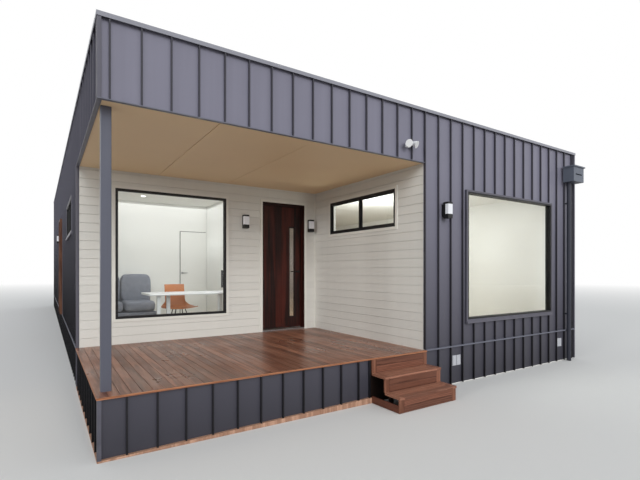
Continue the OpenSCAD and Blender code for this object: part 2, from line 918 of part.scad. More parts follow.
// Bearers and joists under the decking, and the board along the ground under the skirting
module deck_frame() {
    top = deck_h - deck_t;
    color("peru") {
        block(face_d, porch_x, face_d, face_d + bearer_t, 0, top);
        block(face_d, face_d + bearer_t, face_d, porch_y, 0, top);
        block(face_d, porch_x, porch_y - bearer_t, porch_y, 0, top);
        for (y = [face_d + joist_pitch:joist_pitch:porch_d - joist_t - bearer_t])
            block(face_d, porch_x, y, y + joist_t, top - bearer_t, top);
        front_shape(0, face_d, under_board(0));
        block(0, face_d, 0, porch_d - joint_gap, 0, base_board_low);
    }
}

// Outer face of the riser under the tread with that number, counted down from the deck
function riser_y(i) = i == 0 ? 0 : nosing - i * step_go;

module step_treads() {
    color("sienna") for (i = [1:step_count])
        block(step_x, step_end, -i * step_go, riser_y(i - 1),
            deck_h - i * step_rise - tread_t, deck_h - i * step_rise);
}

// Risers and the ledger on the deck frame, with two frames under the treads and a rail at either end
module step_frame() {
    color("maroon") {
        block(step_x, step_end, 0, face_d, 0, deck_h - deck_t);
        for (i = [1:step_count]) {
            top = deck_h - i * step_rise - tread_t;
            back = riser_y(i) + riser_t;
            block(step_x, step_end, riser_y(i), back, deck_h - (i + 1) * step_rise, top);
            for (x = [step_x + step_frame_in, step_end - step_frame_in - joist_t]) {
                block(x, x + joist_t, back, back + joist_t, 0, top);
                block(x, x + joist_t, back, riser_y(i - 1), top - joist_t, top);
            }
        }
        for (x = [step_x, step_end - riser_t])
            block(x, x + riser_t, riser_y(step_count), 0, 0, step_rail_h);
    }
}

// Square post with bevelled corners
module post() {
    b = post_bevel;
    w = post_w;
    color("slategray") translate([post_x, post_y, deck_h]) linear_extrude(ceiling_h) polygon([
        [b, 0], [w - b, 0], [w, b], [w, w - b], [w - b, w], [b, w], [0, w - b], [0, b]
    ]);
}

// Windows

module window_surrounds() {
    out = face_d + surround_over;
    head = door_head - floor_strip_h / 2;
    color("dimgray") {
        for (w = clad_windows)
            at_window(w) window_surround(w[3], w[4]);
        on_face("left", side_door_y, door_w, strip_high) difference() {
            block(-surround_w, door_w + surround_w, -out, 0, 0, head + surround_w);
            block(0, door_w, -out - cut, cut, -cut, head);
        }
    }
}

module porch_trims() {
    out = board_t + trim_over;
    color("ivory") {
        for (w = porch_windows)
            at_window(w) difference() {
                block(-trim_w, w[3] + trim_w, -out, 0, -trim_w, w[4] + trim_w);
                block(0, w[3], -out - cut, cut, 0, w[4]);
            }
        on_face("porch_back", door_x, door_w, deck_h) difference() {
            block(-trim_w, door_w + trim_w, -out, 0, 0, door_head + trim_w);
            block(0, door_w, -out - cut, cut, -cut, door_head);
        }
    }
}

module window_frames() {
    color("black") {
        for (w = clad_windows)
            at_window(w) window_frame(w, clad_frame_face, -face_d, clad_frame_d);
        for (w = porch_windows)
            at_window(w) window_frame(w, porch_frame_face, porch_frame_y, porch_frame_d);
    }
}

module window_glass() {
    color("lightblue") {
        for (w = clad_windows)
            at_window(w) window_panes(w, clad_frame_face, clad_frame_d / 2 - face_d);
        for (w = porch_windows)
            at_window(w) window_panes(w, porch_frame_face, porch_frame_y + porch_frame_d / 2);
    }
}

// Doors

module at_front_door() {
    on_face("porch_back", door_x, door_w, 0) children();
}

module at_side_door() {
    on_face("left", side_door_y, door_w, 0) children();
}

function hinge_places() = [
    leaf_bottom + hinge_inset, (leaf_bottom + leaf_top) / 2, leaf_top - hinge_inset
];

// Jambs, head and stops, with the fixed half of each hinge and its pin
module door_frame(out) {
    z1 = deck_h + sill_h;
    z2 = deck_h + door_head;
    stop_y = leaf_y - leaf_gap - stop_d;
    difference() {
        block(0, door_w, -out, wall_t, z1, z2);
        block(jamb_t, door_w - jamb_t, -out - cut, stop_y, z1 - cut, z2 - jamb_t);
        block(jamb_t + stop_w, door_w - jamb_t - stop_w, stop_y - cut, leaf_y - leaf_gap + cut,
            z1 - cut, z2 - jamb_t - stop_w);
        block(jamb_t, door_w - jamb_t, leaf_y - leaf_gap, wall_t + cut, z1 - cut, z2 - jamb_t);
    }
    for (z = hinge_places()) {
        translate([hinge_x, hinge_y, z - hinge_h]) {
            cylinder(r = knuckle_r, h = hinge_h);
            cylinder(r = pin_r, h = 2 * hinge_h);
        }
        block(hinge_x - hinge_leaf, hinge_x, wall_t, wall_t + hinge_plate_t, z - hinge_h, z);
    }
}

// Moving half of each hinge
module leaf_knuckles() {
    for (z = hinge_places()) difference() {
        union() {
            translate([hinge_x, hinge_y, z + pin_gap]) cylinder(r = knuckle_r, h = hinge_h);
            block(hinge_x, hinge_x + hinge_leaf, wall_t, wall_t + hinge_plate_t,
                z + pin_gap, z + pin_gap + hinge_h);
        }
        translate([hinge_x, hinge_y, z - cut]) cylinder(r = pin_r + pin_gap, h = hinge_h + 2 * cut);
    }
}

module leaf() {
    x = jamb_t + leaf_gap;
    block(x, x + leaf_w, leaf_y, wall_t, leaf_bottom, leaf_top);
}

// Strip of glass in the front door, with a margin for the hole that shows it
module lite(margin, y1, y2) {
    x = jamb_t + leaf_gap + leaf_w - lite_edge - lite_w;
    z = deck_h + lite_z;
    block(x - margin, x + lite_w + margin, y1, y2, z - margin, z + lite_h + margin);
}

// Levers and roses on both sides, pointing away from the lock edge
module levers() {
    x = jamb_t + leaf_gap + leaf_w - lever_edge;
    for (side = [[leaf_y, -1], [wall_t, 1]])
        translate([x, side[0], deck_h + lever_z]) rotate([-90 * side[1], 0, 0]) {
            cylinder(r = rose_r, h = rose_t);
            cylinder(r = lever_r, h = lever_off);
            translate([0, 0, lever_off - lever_r]) rotate([0, -90, 0]) cylinder(r = lever_r, h = lever_l);
            translate([0, 0, lever_off - lever_r]) sphere(r = lever_r);
        }
}

module door_frames() {
    color("maroon") {
        at_front_door() door_frame(board_t);
        at_side_door() door_frame(face_d);
    }
}

module door_sills() {
    color("silver") {
        at_front_door() block(0, door_w, -board_t, wall_t, deck_h, deck_h + sill_h);
        at_side_door() block(0, door_w, -face_d, wall_t, strip_high, deck_h + sill_h);
    }
}

module front_door() {
    middle = (leaf_y + wall_t) / 2;
    color("maroon") at_front_door() {
        difference() {
            leaf();
            lite(0, leaf_y - cut, wall_t + cut);
            lite(glass_bite, middle - glass_t / 2, middle + glass_t / 2);
        }
        leaf_knuckles();
    }
}

module front_door_glass() {
    middle = (leaf_y + wall_t) / 2;
    color("lightblue") at_front_door() lite(glass_bite, middle - glass_t / 2, middle + glass_t / 2);
}

module front_door_lever() {
    color("black") at_front_door() levers();
}

module side_door() {
    color("maroon") at_side_door() {
        leaf();
        leaf_knuckles();
    }
}

module side_door_lever() {
    color("black") at_side_door() levers();
}

// Fittings

// Box on the wall, back, top and foot of one light, centred on X and Z, out along minus Y
module wall_light(depth) {
    w = light_w / 2;
    h = light_h / 2;
    block(-light_box_half, light_box_half, -depth, 0, light_box_in - h, h - light_box_in);
    block(-w, w, -depth - light_back, -depth, -h, h);
    block(-w, w, -depth - light_d, -depth - light_back, h - light_top, h);
    block(-w, w, -depth - light_d, -depth - light_back, -h, light_foot - h);
}

// Opal box between the top and the foot
module diffuser(depth) {
    w = light_w / 2;
    h = light_h / 2;
    block(-w, w, -depth - light_d, -depth - light_back, light_foot - h, h - light_top);
}

// Puts its first child on the porch boards either side of the door, midway to what is next there,
// and its second in the middle of a pan, between porch and window and beside the side door
module at_lights() {
    z = deck_h + light_z;
    for (x = [porch_window_x + porch_window_w + door_x, door_x + door_w + porch_w])
        on_face("porch_back", x / 2, 0, z) children(0);
    on_face("front", pan_middle((porch_w + front_window_x) / 2), 0, z) children(1);
    on_face("left", pan_middle(side_door_y + door_w + light_d_gap), 0, z) children(1);
}

module wall_lights() {
    color("black") at_lights() {
        wall_light(board_t);
        translate([0, -skin_t, 0]) wall_light(seam_h);
    }
}

module light_diffusers() {
    color("white") at_lights() {
        diffuser(board_t);
        translate([0, -skin_t, 0]) diffuser(seam_h);
    }
}

// Two round heads on arms and a sensor, on one base
module floodlight() {
    front = -seam_h - flood_arm_r;
    x = on_pan(porch_w - flood_edge, flood_base_w / 2);
    color("white") translate([x, seam_h, deck_h + flood_z]) {
        block(-flood_base_w / 2, flood_base_w / 2, front, 0, -flood_base_h / 2, flood_base_h / 2);
        for (side = [-1, 1])
            translate([side * flood_spread, front, flood_base_h / 2]) {
                rotate([0, -90 * side, 0]) cylinder(r = flood_arm_r, h = flood_spread);
                rotate([90 + flood_tilt, 0, side * flood_turn]) {
                    cylinder(r = flood_arm_r, h = flood_neck);
                    translate([0, 0, flood_neck])
                        cylinder(r1 = flood_neck_r, r2 = flood_r, h = flood_l);
                }
            }
        translate([0, front, -flood_base_h / 2]) sphere(r = sensor_r);
    }
}

// Open-topped box with a rim, an overflow slot in its face and an outlet in its floor
module rainhead() {
    z1 = deck_h + rain_z;
    mid = rain_x + rain_w / 2;
    slot_z = z1 + slot_rise;
    color("dimgray") difference() {
        union() {
            block(rain_x, rain_x + rain_w, -rain_d, 0, z1, rain_top);
            block(rain_x - rim_over, rain_x + rain_w + rim_over, -rain_d - rim_over, 0,
                rain_top - rim_h, rain_top);
        }
        block(rain_x + gutter_t, rain_x + rain_w - gutter_t, gutter_t - rain_d, -gutter_t,
            z1 + gutter_t, rain_top + cut);
        block(mid - slot_w / 2, mid + slot_w / 2, -rain_d - cut, gutter_t - rain_d + cut,
            slot_z, slot_z + slot_h);
        gutter_outlet();
        translate([pipe_x, pipe_y, z1 - cut]) cylinder(r = pipe_r - pipe_t, h = gutter_t + 2 * cut);
    }
}

// Round pipe with two straps, each on a stem from the pan behind
module downpipe() {
    strap_r = pipe_r + pipe_t;
    color("dimgray") translate([pipe_x, pipe_y, 0]) difference() {
        union() {
            cylinder(r = pipe_r, h = deck_h + rain_z);
            for (z = [strap_low, strap_high])
                translate([0, 0, deck_h + z]) {
                    cylinder(r = strap_r, h = strap_h);
                    block(-strap_h / 2, strap_h / 2, 0, seam_h - pipe_y, 0, strap_h);
                }
        }
        translate([0, 0, -cut]) cylinder(r = pipe_r - pipe_t, h = deck_h + rain_z + 2 * cut);
    }
}

module vents() {
    z1 = deck_h - vent_drop - vent_h / 2;
    z2 = z1 + vent_h;
    y1 = seam_h - vent_t;
    half_gap = vent_gap / 2;
    pair = on_pan(porch_w + vent_pair_edge, half_gap + vent_w);
    single = on_pan(house_w - vent_single_edge, vent_h / 2);
    color("gainsboro") {
        block(pair - half_gap - vent_w, pair - half_gap, y1, seam_h, z1, z2);
        block(pair + half_gap, pair + half_gap + vent_w, y1, seam_h, z1, z2);
        block(single - vent_h / 2, single + vent_h / 2, y1, seam_h, z1, z2);
    }
}

// The whole house, moved so that the origin is under the middle of its box
translate([-mid_x, -mid_y, 0]) {
    front_wall();
    left_wall();
    right_wall();
    back_wall();
    porch_side_wall();
    porch_back_wall();
    doorway_walls();
    inner_walls();
    floor();
    ceiling();
    roof();
    roof_sheet();
    box_gutter();
    gutter_boards();
    cap_flashing();
    porch_ceiling();
    porch_beams();
    front_cladding();
    fascia_cladding();
    skirting_cladding();
    left_cladding();
    right_cladding();
    back_cladding();
    corner_flashings();
    strip_flashings();
    deck();
    deck_frame();
    step_treads();
    step_frame();
    post();
    window_surrounds();
    porch_trims();
    window_frames();
    window_glass();
    door_frames();
    door_sills();
    front_door();
    front_door_glass();
    front_door_lever();
    side_door();
    side_door_lever();
    wall_lights();
    light_diffusers();
    floodlight();
    rainhead();
    downpipe();
    vents();
}
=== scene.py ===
"""Looks of a single-storey beach house with a corner porch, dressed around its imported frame.

Lengths are in metres: X runs to the right along the front, Y into the depth and Z up.
"""
import json
import math

import bmesh
import bpy
import numpy as np
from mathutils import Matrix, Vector

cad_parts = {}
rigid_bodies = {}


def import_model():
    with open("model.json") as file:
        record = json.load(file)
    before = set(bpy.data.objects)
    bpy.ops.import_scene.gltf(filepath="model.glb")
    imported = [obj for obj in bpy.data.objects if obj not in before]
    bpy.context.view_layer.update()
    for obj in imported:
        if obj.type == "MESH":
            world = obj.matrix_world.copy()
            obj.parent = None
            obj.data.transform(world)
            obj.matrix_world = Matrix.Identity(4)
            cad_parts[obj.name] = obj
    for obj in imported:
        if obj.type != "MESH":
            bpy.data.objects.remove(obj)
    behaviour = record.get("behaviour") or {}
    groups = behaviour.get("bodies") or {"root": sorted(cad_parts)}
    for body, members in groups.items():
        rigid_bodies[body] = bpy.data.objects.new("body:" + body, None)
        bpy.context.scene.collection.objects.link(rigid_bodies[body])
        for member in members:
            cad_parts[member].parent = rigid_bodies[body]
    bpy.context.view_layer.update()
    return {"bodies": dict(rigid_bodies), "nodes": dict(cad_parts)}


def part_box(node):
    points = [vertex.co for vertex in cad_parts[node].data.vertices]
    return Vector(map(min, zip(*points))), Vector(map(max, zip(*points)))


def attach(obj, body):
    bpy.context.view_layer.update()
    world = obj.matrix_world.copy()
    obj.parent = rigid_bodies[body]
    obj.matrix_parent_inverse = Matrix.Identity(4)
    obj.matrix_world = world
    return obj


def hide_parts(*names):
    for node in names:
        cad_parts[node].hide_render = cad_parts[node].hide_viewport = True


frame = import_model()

scene = bpy.context.scene
scene.view_settings.view_transform = "Standard"
nodes = frame["nodes"]
rng = np.random.default_rng(7)
X, Y, Z = np.eye(3)


def linked(name, data):
    """New object in the scene."""
    made = bpy.data.objects.new(name, data)
    scene.collection.objects.link(made)
    return made


# Camera

def photo_camera():
    """Level camera at the photograph's place; its shift lifts the horizon above the middle."""
    data = bpy.data.cameras.new("camera")
    data.sensor_width = 36.0
    data.lens = 23.766
    data.shift_y = 0.04867
    data.clip_end = 400.0
    camera = linked("camera", data)
    camera.location = (-4.4531, -13.8379, 1.6812)
    camera.rotation_euler = (math.radians(90.0), 0.0, math.radians(-33.135))
    scene.camera = camera


photo_camera()


# Shapes

def piece(name, shape, finish, slot=None, body="house", **values):
    """Mesh from a shape, which is points (n, 3) and groups of faces with one corner count each. It
    rides on a body. Values are given for each point, or one for all."""
    points, face_groups = shape[:2]
    mesh = bpy.data.meshes.new(name)
    faces = [face for group in face_groups for face in group.tolist()]
    mesh.from_pydata(points.tolist(), [], faces)
    for key, numbers in values.items():
        layer = mesh.attributes.new(key, "FLOAT", "POINT")
        layer.data.foreach_set("value", np.full(len(points), numbers, np.float32))
    mesh.materials.append(finish)
    made = linked(name, mesh)
    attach(made, body)
    return made


def rounded(width, height, radius, steps=3):
    """Rounded rectangle: corner centres plus radius times (cos, sin), a quarter turn each."""
    quarter = np.linspace(0, math.pi / 2, steps)
    angle = (quarter + np.arange(4)[:, None] * math.pi / 2).ravel()
    signs = np.repeat([[1, 1], [-1, 1], [-1, -1], [1, -1]], steps, axis=0)
    centre = signs * [width / 2 - radius, height / 2 - radius]
    return centre + radius * np.stack([np.cos(angle), np.sin(angle)], 1)


def carried(outline, start, end, across, up):
    """Straight bars: an anticlockwise outline of (u, v) across and up runs from start to end. With
    left-handed axes the faces are turned round."""
    start, end = np.atleast_2d(start), np.atleast_2d(end)
    count = len(start)
    outline = np.broadcast_to(outline, (count,) + np.shape(outline)[-2:])
    across = np.broadcast_to(across, (count, 3))
    up = np.broadcast_to(up, (count, 3))
    offset = outline[..., :1] * across[:, None] + outline[..., 1:] * up[:, None]
    points = np.stack([start[:, None] + offset, end[:, None] + offset], 1)
    sides = outline.shape[1]
    first = np.arange(count)[:, None, None] * 2 * sides
    quads, ends = (faces + first for faces in tube_faces(2, sides))
    left_handed = np.einsum("ij,ij->i", np.cross(across, up), end - start) < 0
    quads[left_handed] = quads[left_handed][:, :, ::-1]
    ends[left_handed] = ends[left_handed][:, :, ::-1]
    return points.reshape(-1, 3), [quads.reshape(-1, 4), ends.reshape(-1, sides)], 2 * sides


def moved_to(points, axis, value):
    """Copy of points with one coordinate set to a value."""
    moved = points.copy()
    moved[:, axis] = value
    return moved


def points_at(x, y, z):
    """Points from their coordinates, each a row of numbers or one number for all."""
    return np.column_stack(np.broadcast_arrays(x, y, z))


def grid_quads(rows, columns, round_rows=False, round_columns=False):
    """Quads between neighbours in a grid of points. A direction can close on itself."""
    j, k = np.meshgrid(np.arange(rows - 1 + round_rows), np.arange(columns - 1 + round_columns),
                       indexing="ij")
    next_j, next_k = (j + 1) % rows, (k + 1) % columns
    quads = [j * columns + k, j * columns + next_k, next_j * columns + next_k, next_j * columns + k]
    return np.stack(quads, -1).reshape(-1, 4)


def tube_faces(rings, sides):
    """Quads between rings that lie one after the other, and the two flat ends."""
    ring = np.arange(sides)
    ends = np.stack([ring[::-1], ring + (rings - 1) * sides])
    return grid_quads(rings, sides, round_columns=True), ends


def bar(low, high, radius=0.002, axis=1):
    """One straight bar between two corners: its rounded outline is carried along an axis."""
    low, high = np.array(low, float), np.array(high, float)
    others = [(axis + 1) % 3, (axis + 2) % 3]
    middle = (low + high)[None] / 2
    return carried(rounded(*(high - low)[others], radius), moved_to(middle, axis, low[axis]),
                   moved_to(middle, axis, high[axis]), *np.eye(3)[others])


def framed(outline, low, high, side, up, out):
    """Mitred frames: point (a, b) of an outline goes round each rectangle from low to high, a
    outwards in its plane and b along out, with corners on the diagonals."""
    low, high = np.atleast_2d(low), np.atleast_2d(high)
    outline = np.asarray(outline)
    corners = np.array([[0, 0], [1, 0], [1, 1], [0, 1]])
    size = high - low
    place = (low[:, None] + corners[None, :, :1] * (size @ side)[:, None, None] * side
             + corners[None, :, 1:] * (size @ up)[:, None, None] * up)
    diagonal = (2 * corners[:, :1] - 1) * side + (2 * corners[:, 1:] - 1) * up
    points = (place[:, :, None] + outline[None, None, :, :1] * diagonal[None, :, None]
              + outline[None, None, :, 1:] * out)
    rings, sides = len(corners), len(outline)
    quads = grid_quads(rings, sides, True, True)[:, [0, 3, 2, 1]]
    first = np.arange(len(low))[:, None, None] * rings * sides
    return points.reshape(-1, 3), [(quads + first).reshape(-1, 4)]


def turned(profile, centre, axis, sides=24):
    """Solids of revolution: (r, h) pairs of a profile turn about axis through each centre, closed
    by flat ends."""
    centre = np.atleast_2d(centre)
    axis = np.broadcast_to(axis, centre.shape)
    axis = axis / np.linalg.norm(axis, axis=1, keepdims=True)
    helper = np.where(np.abs(axis[:, 2:]) < 0.9, Z, X)
    u = np.cross(helper, axis)
    u /= np.linalg.norm(u, axis=1, keepdims=True)
    v = np.cross(axis, u)
    profile = np.asarray(profile)
    angle = np.arange(sides) * 2 * math.pi / sides
    around = np.cos(angle)[:, None] * u[:, None] + np.sin(angle)[:, None] * v[:, None]
    points = (centre[:, None, None] + profile[None, :, None, :1] * around[:, None]
              + profile[None, :, None, 1:] * axis[:, None, None])
    first = np.arange(len(centre))[:, None, None] * len(profile) * sides
    quads, ends = (faces + first for faces in tube_faces(len(profile), sides))
    return points.reshape(-1, 3), [quads.reshape(-1, 4), ends.reshape(-1, sides)]


def joined(*parts):
    """Several (points, face groups) as one, with the later faces counted on."""
    points, groups, total = [], [], 0
    for part in parts:
        points.append(part[0])
        groups.extend(group + total for group in part[1])
        total += len(part[0])
    return np.concatenate(points), groups


def triples(items, key, kind):
    """The three numbers that each item of a mesh has under a key."""
    numbers = np.zeros(len(items) * 3, kind)
    items.foreach_get(key, numbers)
    return numbers.reshape(-1, 3)


def solids_of(name):
    """Boxes (low, high) of the separate solids in a CAD node: corners that share a triangle take
    the smallest label among them until nothing changes."""
    mesh = nodes[name].data
    corners = triples(mesh.vertices, "co", np.float32)
    mesh.calc_loop_triangles()
    _, same = np.unique(np.round(corners, 5), axis=0, return_inverse=True)
    same = same.ravel()
    triangles = same[triples(mesh.loop_triangles, "vertices", np.int32)]
    label = np.arange(same.max() + 1)
    while True:
        lowest = label[triangles].min(1)
        new = label.copy()
        np.minimum.at(new, triangles.ravel(), np.repeat(lowest, 3))
        new = new[new]
        if (new == label).all():
            break
        label = new
    groups = label[same]
    boxes = [(corners[groups == g].min(0), corners[groups == g].max(0)) for g in np.unique(groups)]
    return sorted(boxes, key=lambda b: tuple(np.round(b[0], 3)))


def face_outwards(made):
    """Turns the faces of a closed piece outwards."""
    work = bmesh.new()
    work.from_mesh(made.data)
    bmesh.ops.recalc_face_normals(work, faces=work.faces)
    work.to_mesh(made.data)
    work.free()


# Materials

def put(tree, kind, feeds=(), **settings):
    """Adds one shader node with its settings. Feeds give an input a value or another's output."""
    node = tree.nodes.new("ShaderNode" + kind)
    for key, value in settings.items():
        setattr(node, key, value)
    for key, value in dict(feeds).items():
        if isinstance(value, bpy.types.NodeSocket):
            tree.links.new(value, node.inputs[key])
        else:
            node.inputs[key].default_value = value
    return node


def math_of(tree, operation, a, b, clamp=False):
    return put(tree, "Math", {0: a, 1: b}, operation=operation, use_clamp=clamp).outputs[0]


def times(tree, a, b, clamp=False):
    return math_of(tree, "MULTIPLY", a, b, clamp)


def weighted(tree, a, b, share):
    """Mean of two values, of which the first counts by its share."""
    return math_of(tree, "ADD", times(tree, a, share), times(tree, b, 1 - share))


def beyond(tree, value, low, high):
    """How far a value lies below low or above high."""
    return math_of(tree, "MAXIMUM", math_of(tree, "SUBTRACT", low, value),
                   math_of(tree, "SUBTRACT", value, high))


def seen(tree):
    """1 where the eye, a mirror or glass looks, and 0 for light that falls on things."""
    ray = put(tree, "LightPath").outputs
    return math_of(tree, "MAXIMUM", ray["Is Camera Ray"], math_of(
        tree, "MAXIMUM", ray["Is Glossy Ray"], ray["Is Transmission Ray"]))


def tint(tree, factor, a, b, kind="MIX"):
    """Mix of two colours."""
    feeds = {0: factor, 6: a, 7: b}
    return put(tree, "Mix", feeds, data_type="RGBA", blend_type=kind).outputs[2]


def span(tree, value, low, high, to_low=0.0, to_high=1.0):
    """Value carried from one range to another, held at the ends."""
    feeds = {0: value, 1: low, 2: high, 3: to_low, 4: to_high}
    return put(tree, "MapRange", feeds, clamp=True).outputs[0]


def srgb(red, green, blue):
    """Linear colour of an sRGB one given from 0 to 255."""
    share = np.array([red, green, blue]) / 255
    linear = np.where(share <= 0.04045, share / 12.92, ((share + 0.055) / 1.055) ** 2.4)
    return (*linear.tolist(), 1.0)


def show_mix(tree, kind, factor, first, second):
    """Output of one of two shaders, or of a share of both."""
    mixed = put(tree, "MixShader", {0: factor, 1: first.outputs[0], 2: second.outputs[0]})
    put(tree, kind, {"Surface": mixed.outputs[0]})


def axes(tree, vector):
    """The three coordinates of a vector."""
    return put(tree, "SeparateXYZ", {0: vector}).outputs


def nudged(tree, vector, amount):
    """Vector moved by one amount along all three axes."""
    steps = put(tree, "CombineXYZ", {0: amount, 1: amount, 2: amount}).outputs[0]
    return put(tree, "VectorMath", {0: vector, 1: steps}, operation="ADD").outputs[0]


def stretched(tree, vector, scale):
    return put(tree, "Mapping", {"Vector": vector, "Scale": scale}).outputs[0]


def noise(tree, vector, scale, detail=3.0, roughness=0.5):
    feeds = {"Vector": vector, "Scale": scale, "Detail": detail, "Roughness": roughness}
    return put(tree, "TexNoise", feeds).outputs["Fac"]


def slow_waves(tree, where):
    """Long soft waves in a thin sheet."""
    return noise(tree, stretched(tree, where, (3.0, 3.0, 0.8)), 1.0, 2.0)


def board_tone(tree):
    return put(tree, "Attribute", attribute_name="board").outputs["Fac"]


def group(name, inputs, build):
    """Shader node group with named inputs. build(tree, inputs) gives its named outputs."""
    tree = bpy.data.node_groups.new(name, "ShaderNodeTree")
    for socket, kind, value in inputs:
        made = tree.interface.new_socket(socket, in_out="INPUT", socket_type="NodeSocket" + kind)
        if value is not None:
            made.default_value = value
    results = build(tree, tree.nodes.new("NodeGroupInput").outputs)
    for socket in results:
        tree.interface.new_socket(socket, in_out="OUTPUT", socket_type="NodeSocketFloat")
    leave = tree.nodes.new("NodeGroupOutput")
    for socket, result in results.items():
        tree.links.new(result, leave.inputs[socket])
    return tree


def spaced(values):
    """The same values under names with spaces for underscores."""
    return {key.replace("_", " "): value for key, value in values.items()}


def placed(tree, shared, **feeds):
    """One group in a material, with its inputs set by name."""
    return put(tree, "Group", spaced(feeds), node_tree=shared).outputs


def weathering(tree, inputs):
    """Clouds, upright rain streaks and dust that thins out upwards from the ground."""
    where = inputs["Vector"]
    clouds = noise(tree, where, 0.7, 4.0)
    streaks = noise(tree, stretched(tree, where, (9.0, 9.0, 0.3)), 1.0, 4.0, 0.6)
    speckle = noise(tree, where, 9.0, 5.0, 0.65)
    low = span(tree, axes(tree, where)[2], 0.0, inputs["Dust height"], 1.0, 0.0)
    dust = times(tree, math_of(tree, "POWER", low, 1.6), span(tree, speckle, 0.3, 0.75), True)
    shade = weighted(tree, clouds, streaks, 0.5)
    return {"Shade": span(tree, shade, 0.3, 0.7), "Dust": dust, "Speckle": speckle}


def wood_grain(tree, inputs):
    """Long fibres: noise drawn out along the board, bent by a slower noise, shifted by board."""
    moved = nudged(tree, inputs["Vector"], times(tree, inputs["Board"], BOARD_SHIFT))
    drawn = put(tree, "VectorMath", {0: moved, 1: inputs["Stretch"]},
                operation="MULTIPLY").outputs[0]
    bent = nudged(tree, drawn, noise(tree, drawn, 0.35, 2.0))
    fibre = noise(tree, bent, 2.2, 6.0, 0.62)
    rings = put(tree, "TexWave", {"Vector": bent, "Scale": 0.55, "Distortion": 5.0, "Detail": 2.0},
                wave_type="RINGS").outputs["Fac"]
    return {"Grain": weighted(tree, fibre, rings, 0.65), "Fibre": fibre}


BOARD_SHIFT = 37.0
WEATHER = group("weathering", [("Vector", "Vector", None), ("Dust height", "Float", 0.5)],
                weathering)
GRAIN = group("wood_grain", [("Vector", "Vector", None), ("Stretch", "Vector", (1.0, 1.0, 1.0)),
                             ("Board", "Float", 0.0)], wood_grain)


def material(name):
    """New material, its empty node tree and the place of a shaded point in the scene."""
    made = bpy.data.materials.new(name)
    made.use_nodes = True
    made.node_tree.nodes.clear()
    return made, made.node_tree, put(made.node_tree, "TexCoord").outputs["Object"]


def finished(tree, colour, roughness, height, distance, strength, **settings):
    """Principled surface with a bump, linked to the output."""
    bump = put(tree, "Bump", {"Height": height, "Distance": distance, "Strength": strength})
    feeds = {"Base Color": colour, "Roughness": roughness, "Normal": bump.outputs[0]}
    surface = put(tree, "BsdfPrincipled", feeds | spaced(settings))
    put(tree, "OutputMaterial", {"Surface": surface.outputs[0]})


def scaled(colour, factor):
    return (*[channel * factor for channel in colour[:3]], 1.0)


def coated_steel(name, colour, dust_height=0.5, spread=0.06):
    """Factory-painted sheet: faint clouds and streaks, dust near the ground and slow waves."""
    made, tree, where = material(name)
    weather = placed(tree, WEATHER, Vector=where, Dust_height=dust_height)
    painted = tint(tree, weather["Shade"], scaled(colour, 1 - spread), scaled(colour, 1 + spread))
    dusty = tint(tree, times(tree, weather["Dust"], 0.7), painted, scaled(colour, 0.3))
    dull = span(tree, weather["Speckle"], 0.2, 0.8, 0.34, 0.5)
    finished(tree, dusty, dull, slow_waves(tree, where), 0.004, 0.5, Specular_IOR_Level=0.4)
    return made


def seamed_steel(name, colour, sheet_in):
    """Coated sheet with painted shade on its standing seams: what stands further out of the house's
    faces than sheet_in is a seam. Sheet and seams are painted darker down towards the ground, a
    painted reflection of the ground."""
    made, tree, where = material(name)
    axis = axes(tree, where)
    # Painted shade: a seam is what stands out past the pans, and it is darkened as shade.
    ends = beyond(tree, axis[1], cad_front + sheet_in, cad_back - sheet_in)
    sides = beyond(tree, axis[0], cad_left + sheet_in, cad_right - sheet_in)
    seam = span(tree, math_of(tree, "MAXIMUM", ends, sides), 0.0, SEAM_EDGE)
    # Painted shade on the side walls' seams, which are seen end-on: lighter towards the top.
    on_side = span(tree, sides, 0.0, SEAM_EDGE)
    side_shade = span(tree, axis[2], *SIDE_SEAM_LEVELS, *SIDE_SEAM_SHADES)
    change = math_of(tree, "SUBTRACT", side_shade, SEAM_SHADE)
    seam_shade_amount = times(tree, seam, math_of(tree, "ADD", SEAM_SHADE, times(tree, on_side, change)))
    weather = placed(tree, WEATHER, Vector=where, Dust_height=0.6)
    pan = tint(tree, weather["Shade"], scaled(colour, 0.9), scaled(colour, 1.08))
    # Painted reflection: the sheet is painted darker down towards the ground.
    pan = tint(tree, span(tree, axis[2], *SHADE_LEVELS, 0.98, 0.0), pan, scaled(colour, 0.22))
    pan = tint(tree, times(tree, weather["Dust"], 0.3), pan, scaled(colour, 0.3))
    # Painted shade colour for the seams, darker towards the ground.
    painted_seam_shade = tint(tree, span(tree, axis[2], *SHADE_LEVELS), scaled(colour, 0.02), scaled(colour, 0.1))
    shade = tint(tree, seam_shade_amount, pan, painted_seam_shade)
    dull = span(tree, weather["Speckle"], 0.2, 0.8, 0.36, 0.5)
    finished(tree, shade, dull, slow_waves(tree, where), 0.005, 0.5, Specular_IOR_Level=0.4)
    return made


def painted_boards(name, colour, spread=0.05):
    """Painted boards: brush marks along the board, a little tone from board to board and dust."""
    made, tree, where = material(name)
    weather = placed(tree, WEATHER, Vector=where, Dust_height=1.0)
    shade = weighted(tree, board_tone(tree), weather["Shade"], 0.5)
    painted = tint(tree, shade, scaled(colour, 1 - spread), scaled(colour, 1 + spread))
    dusty = tint(tree, times(tree, weather["Dust"], 0.12), painted, srgb(140, 118, 92))
    brush = noise(tree, stretched(tree, where, (3.0, 3.0, 260.0)), 1.0, 3.0)
    finished(tree, dusty, 0.52, brush, 0.0004, 0.6, Specular_IOR_Level=0.35)
    return made


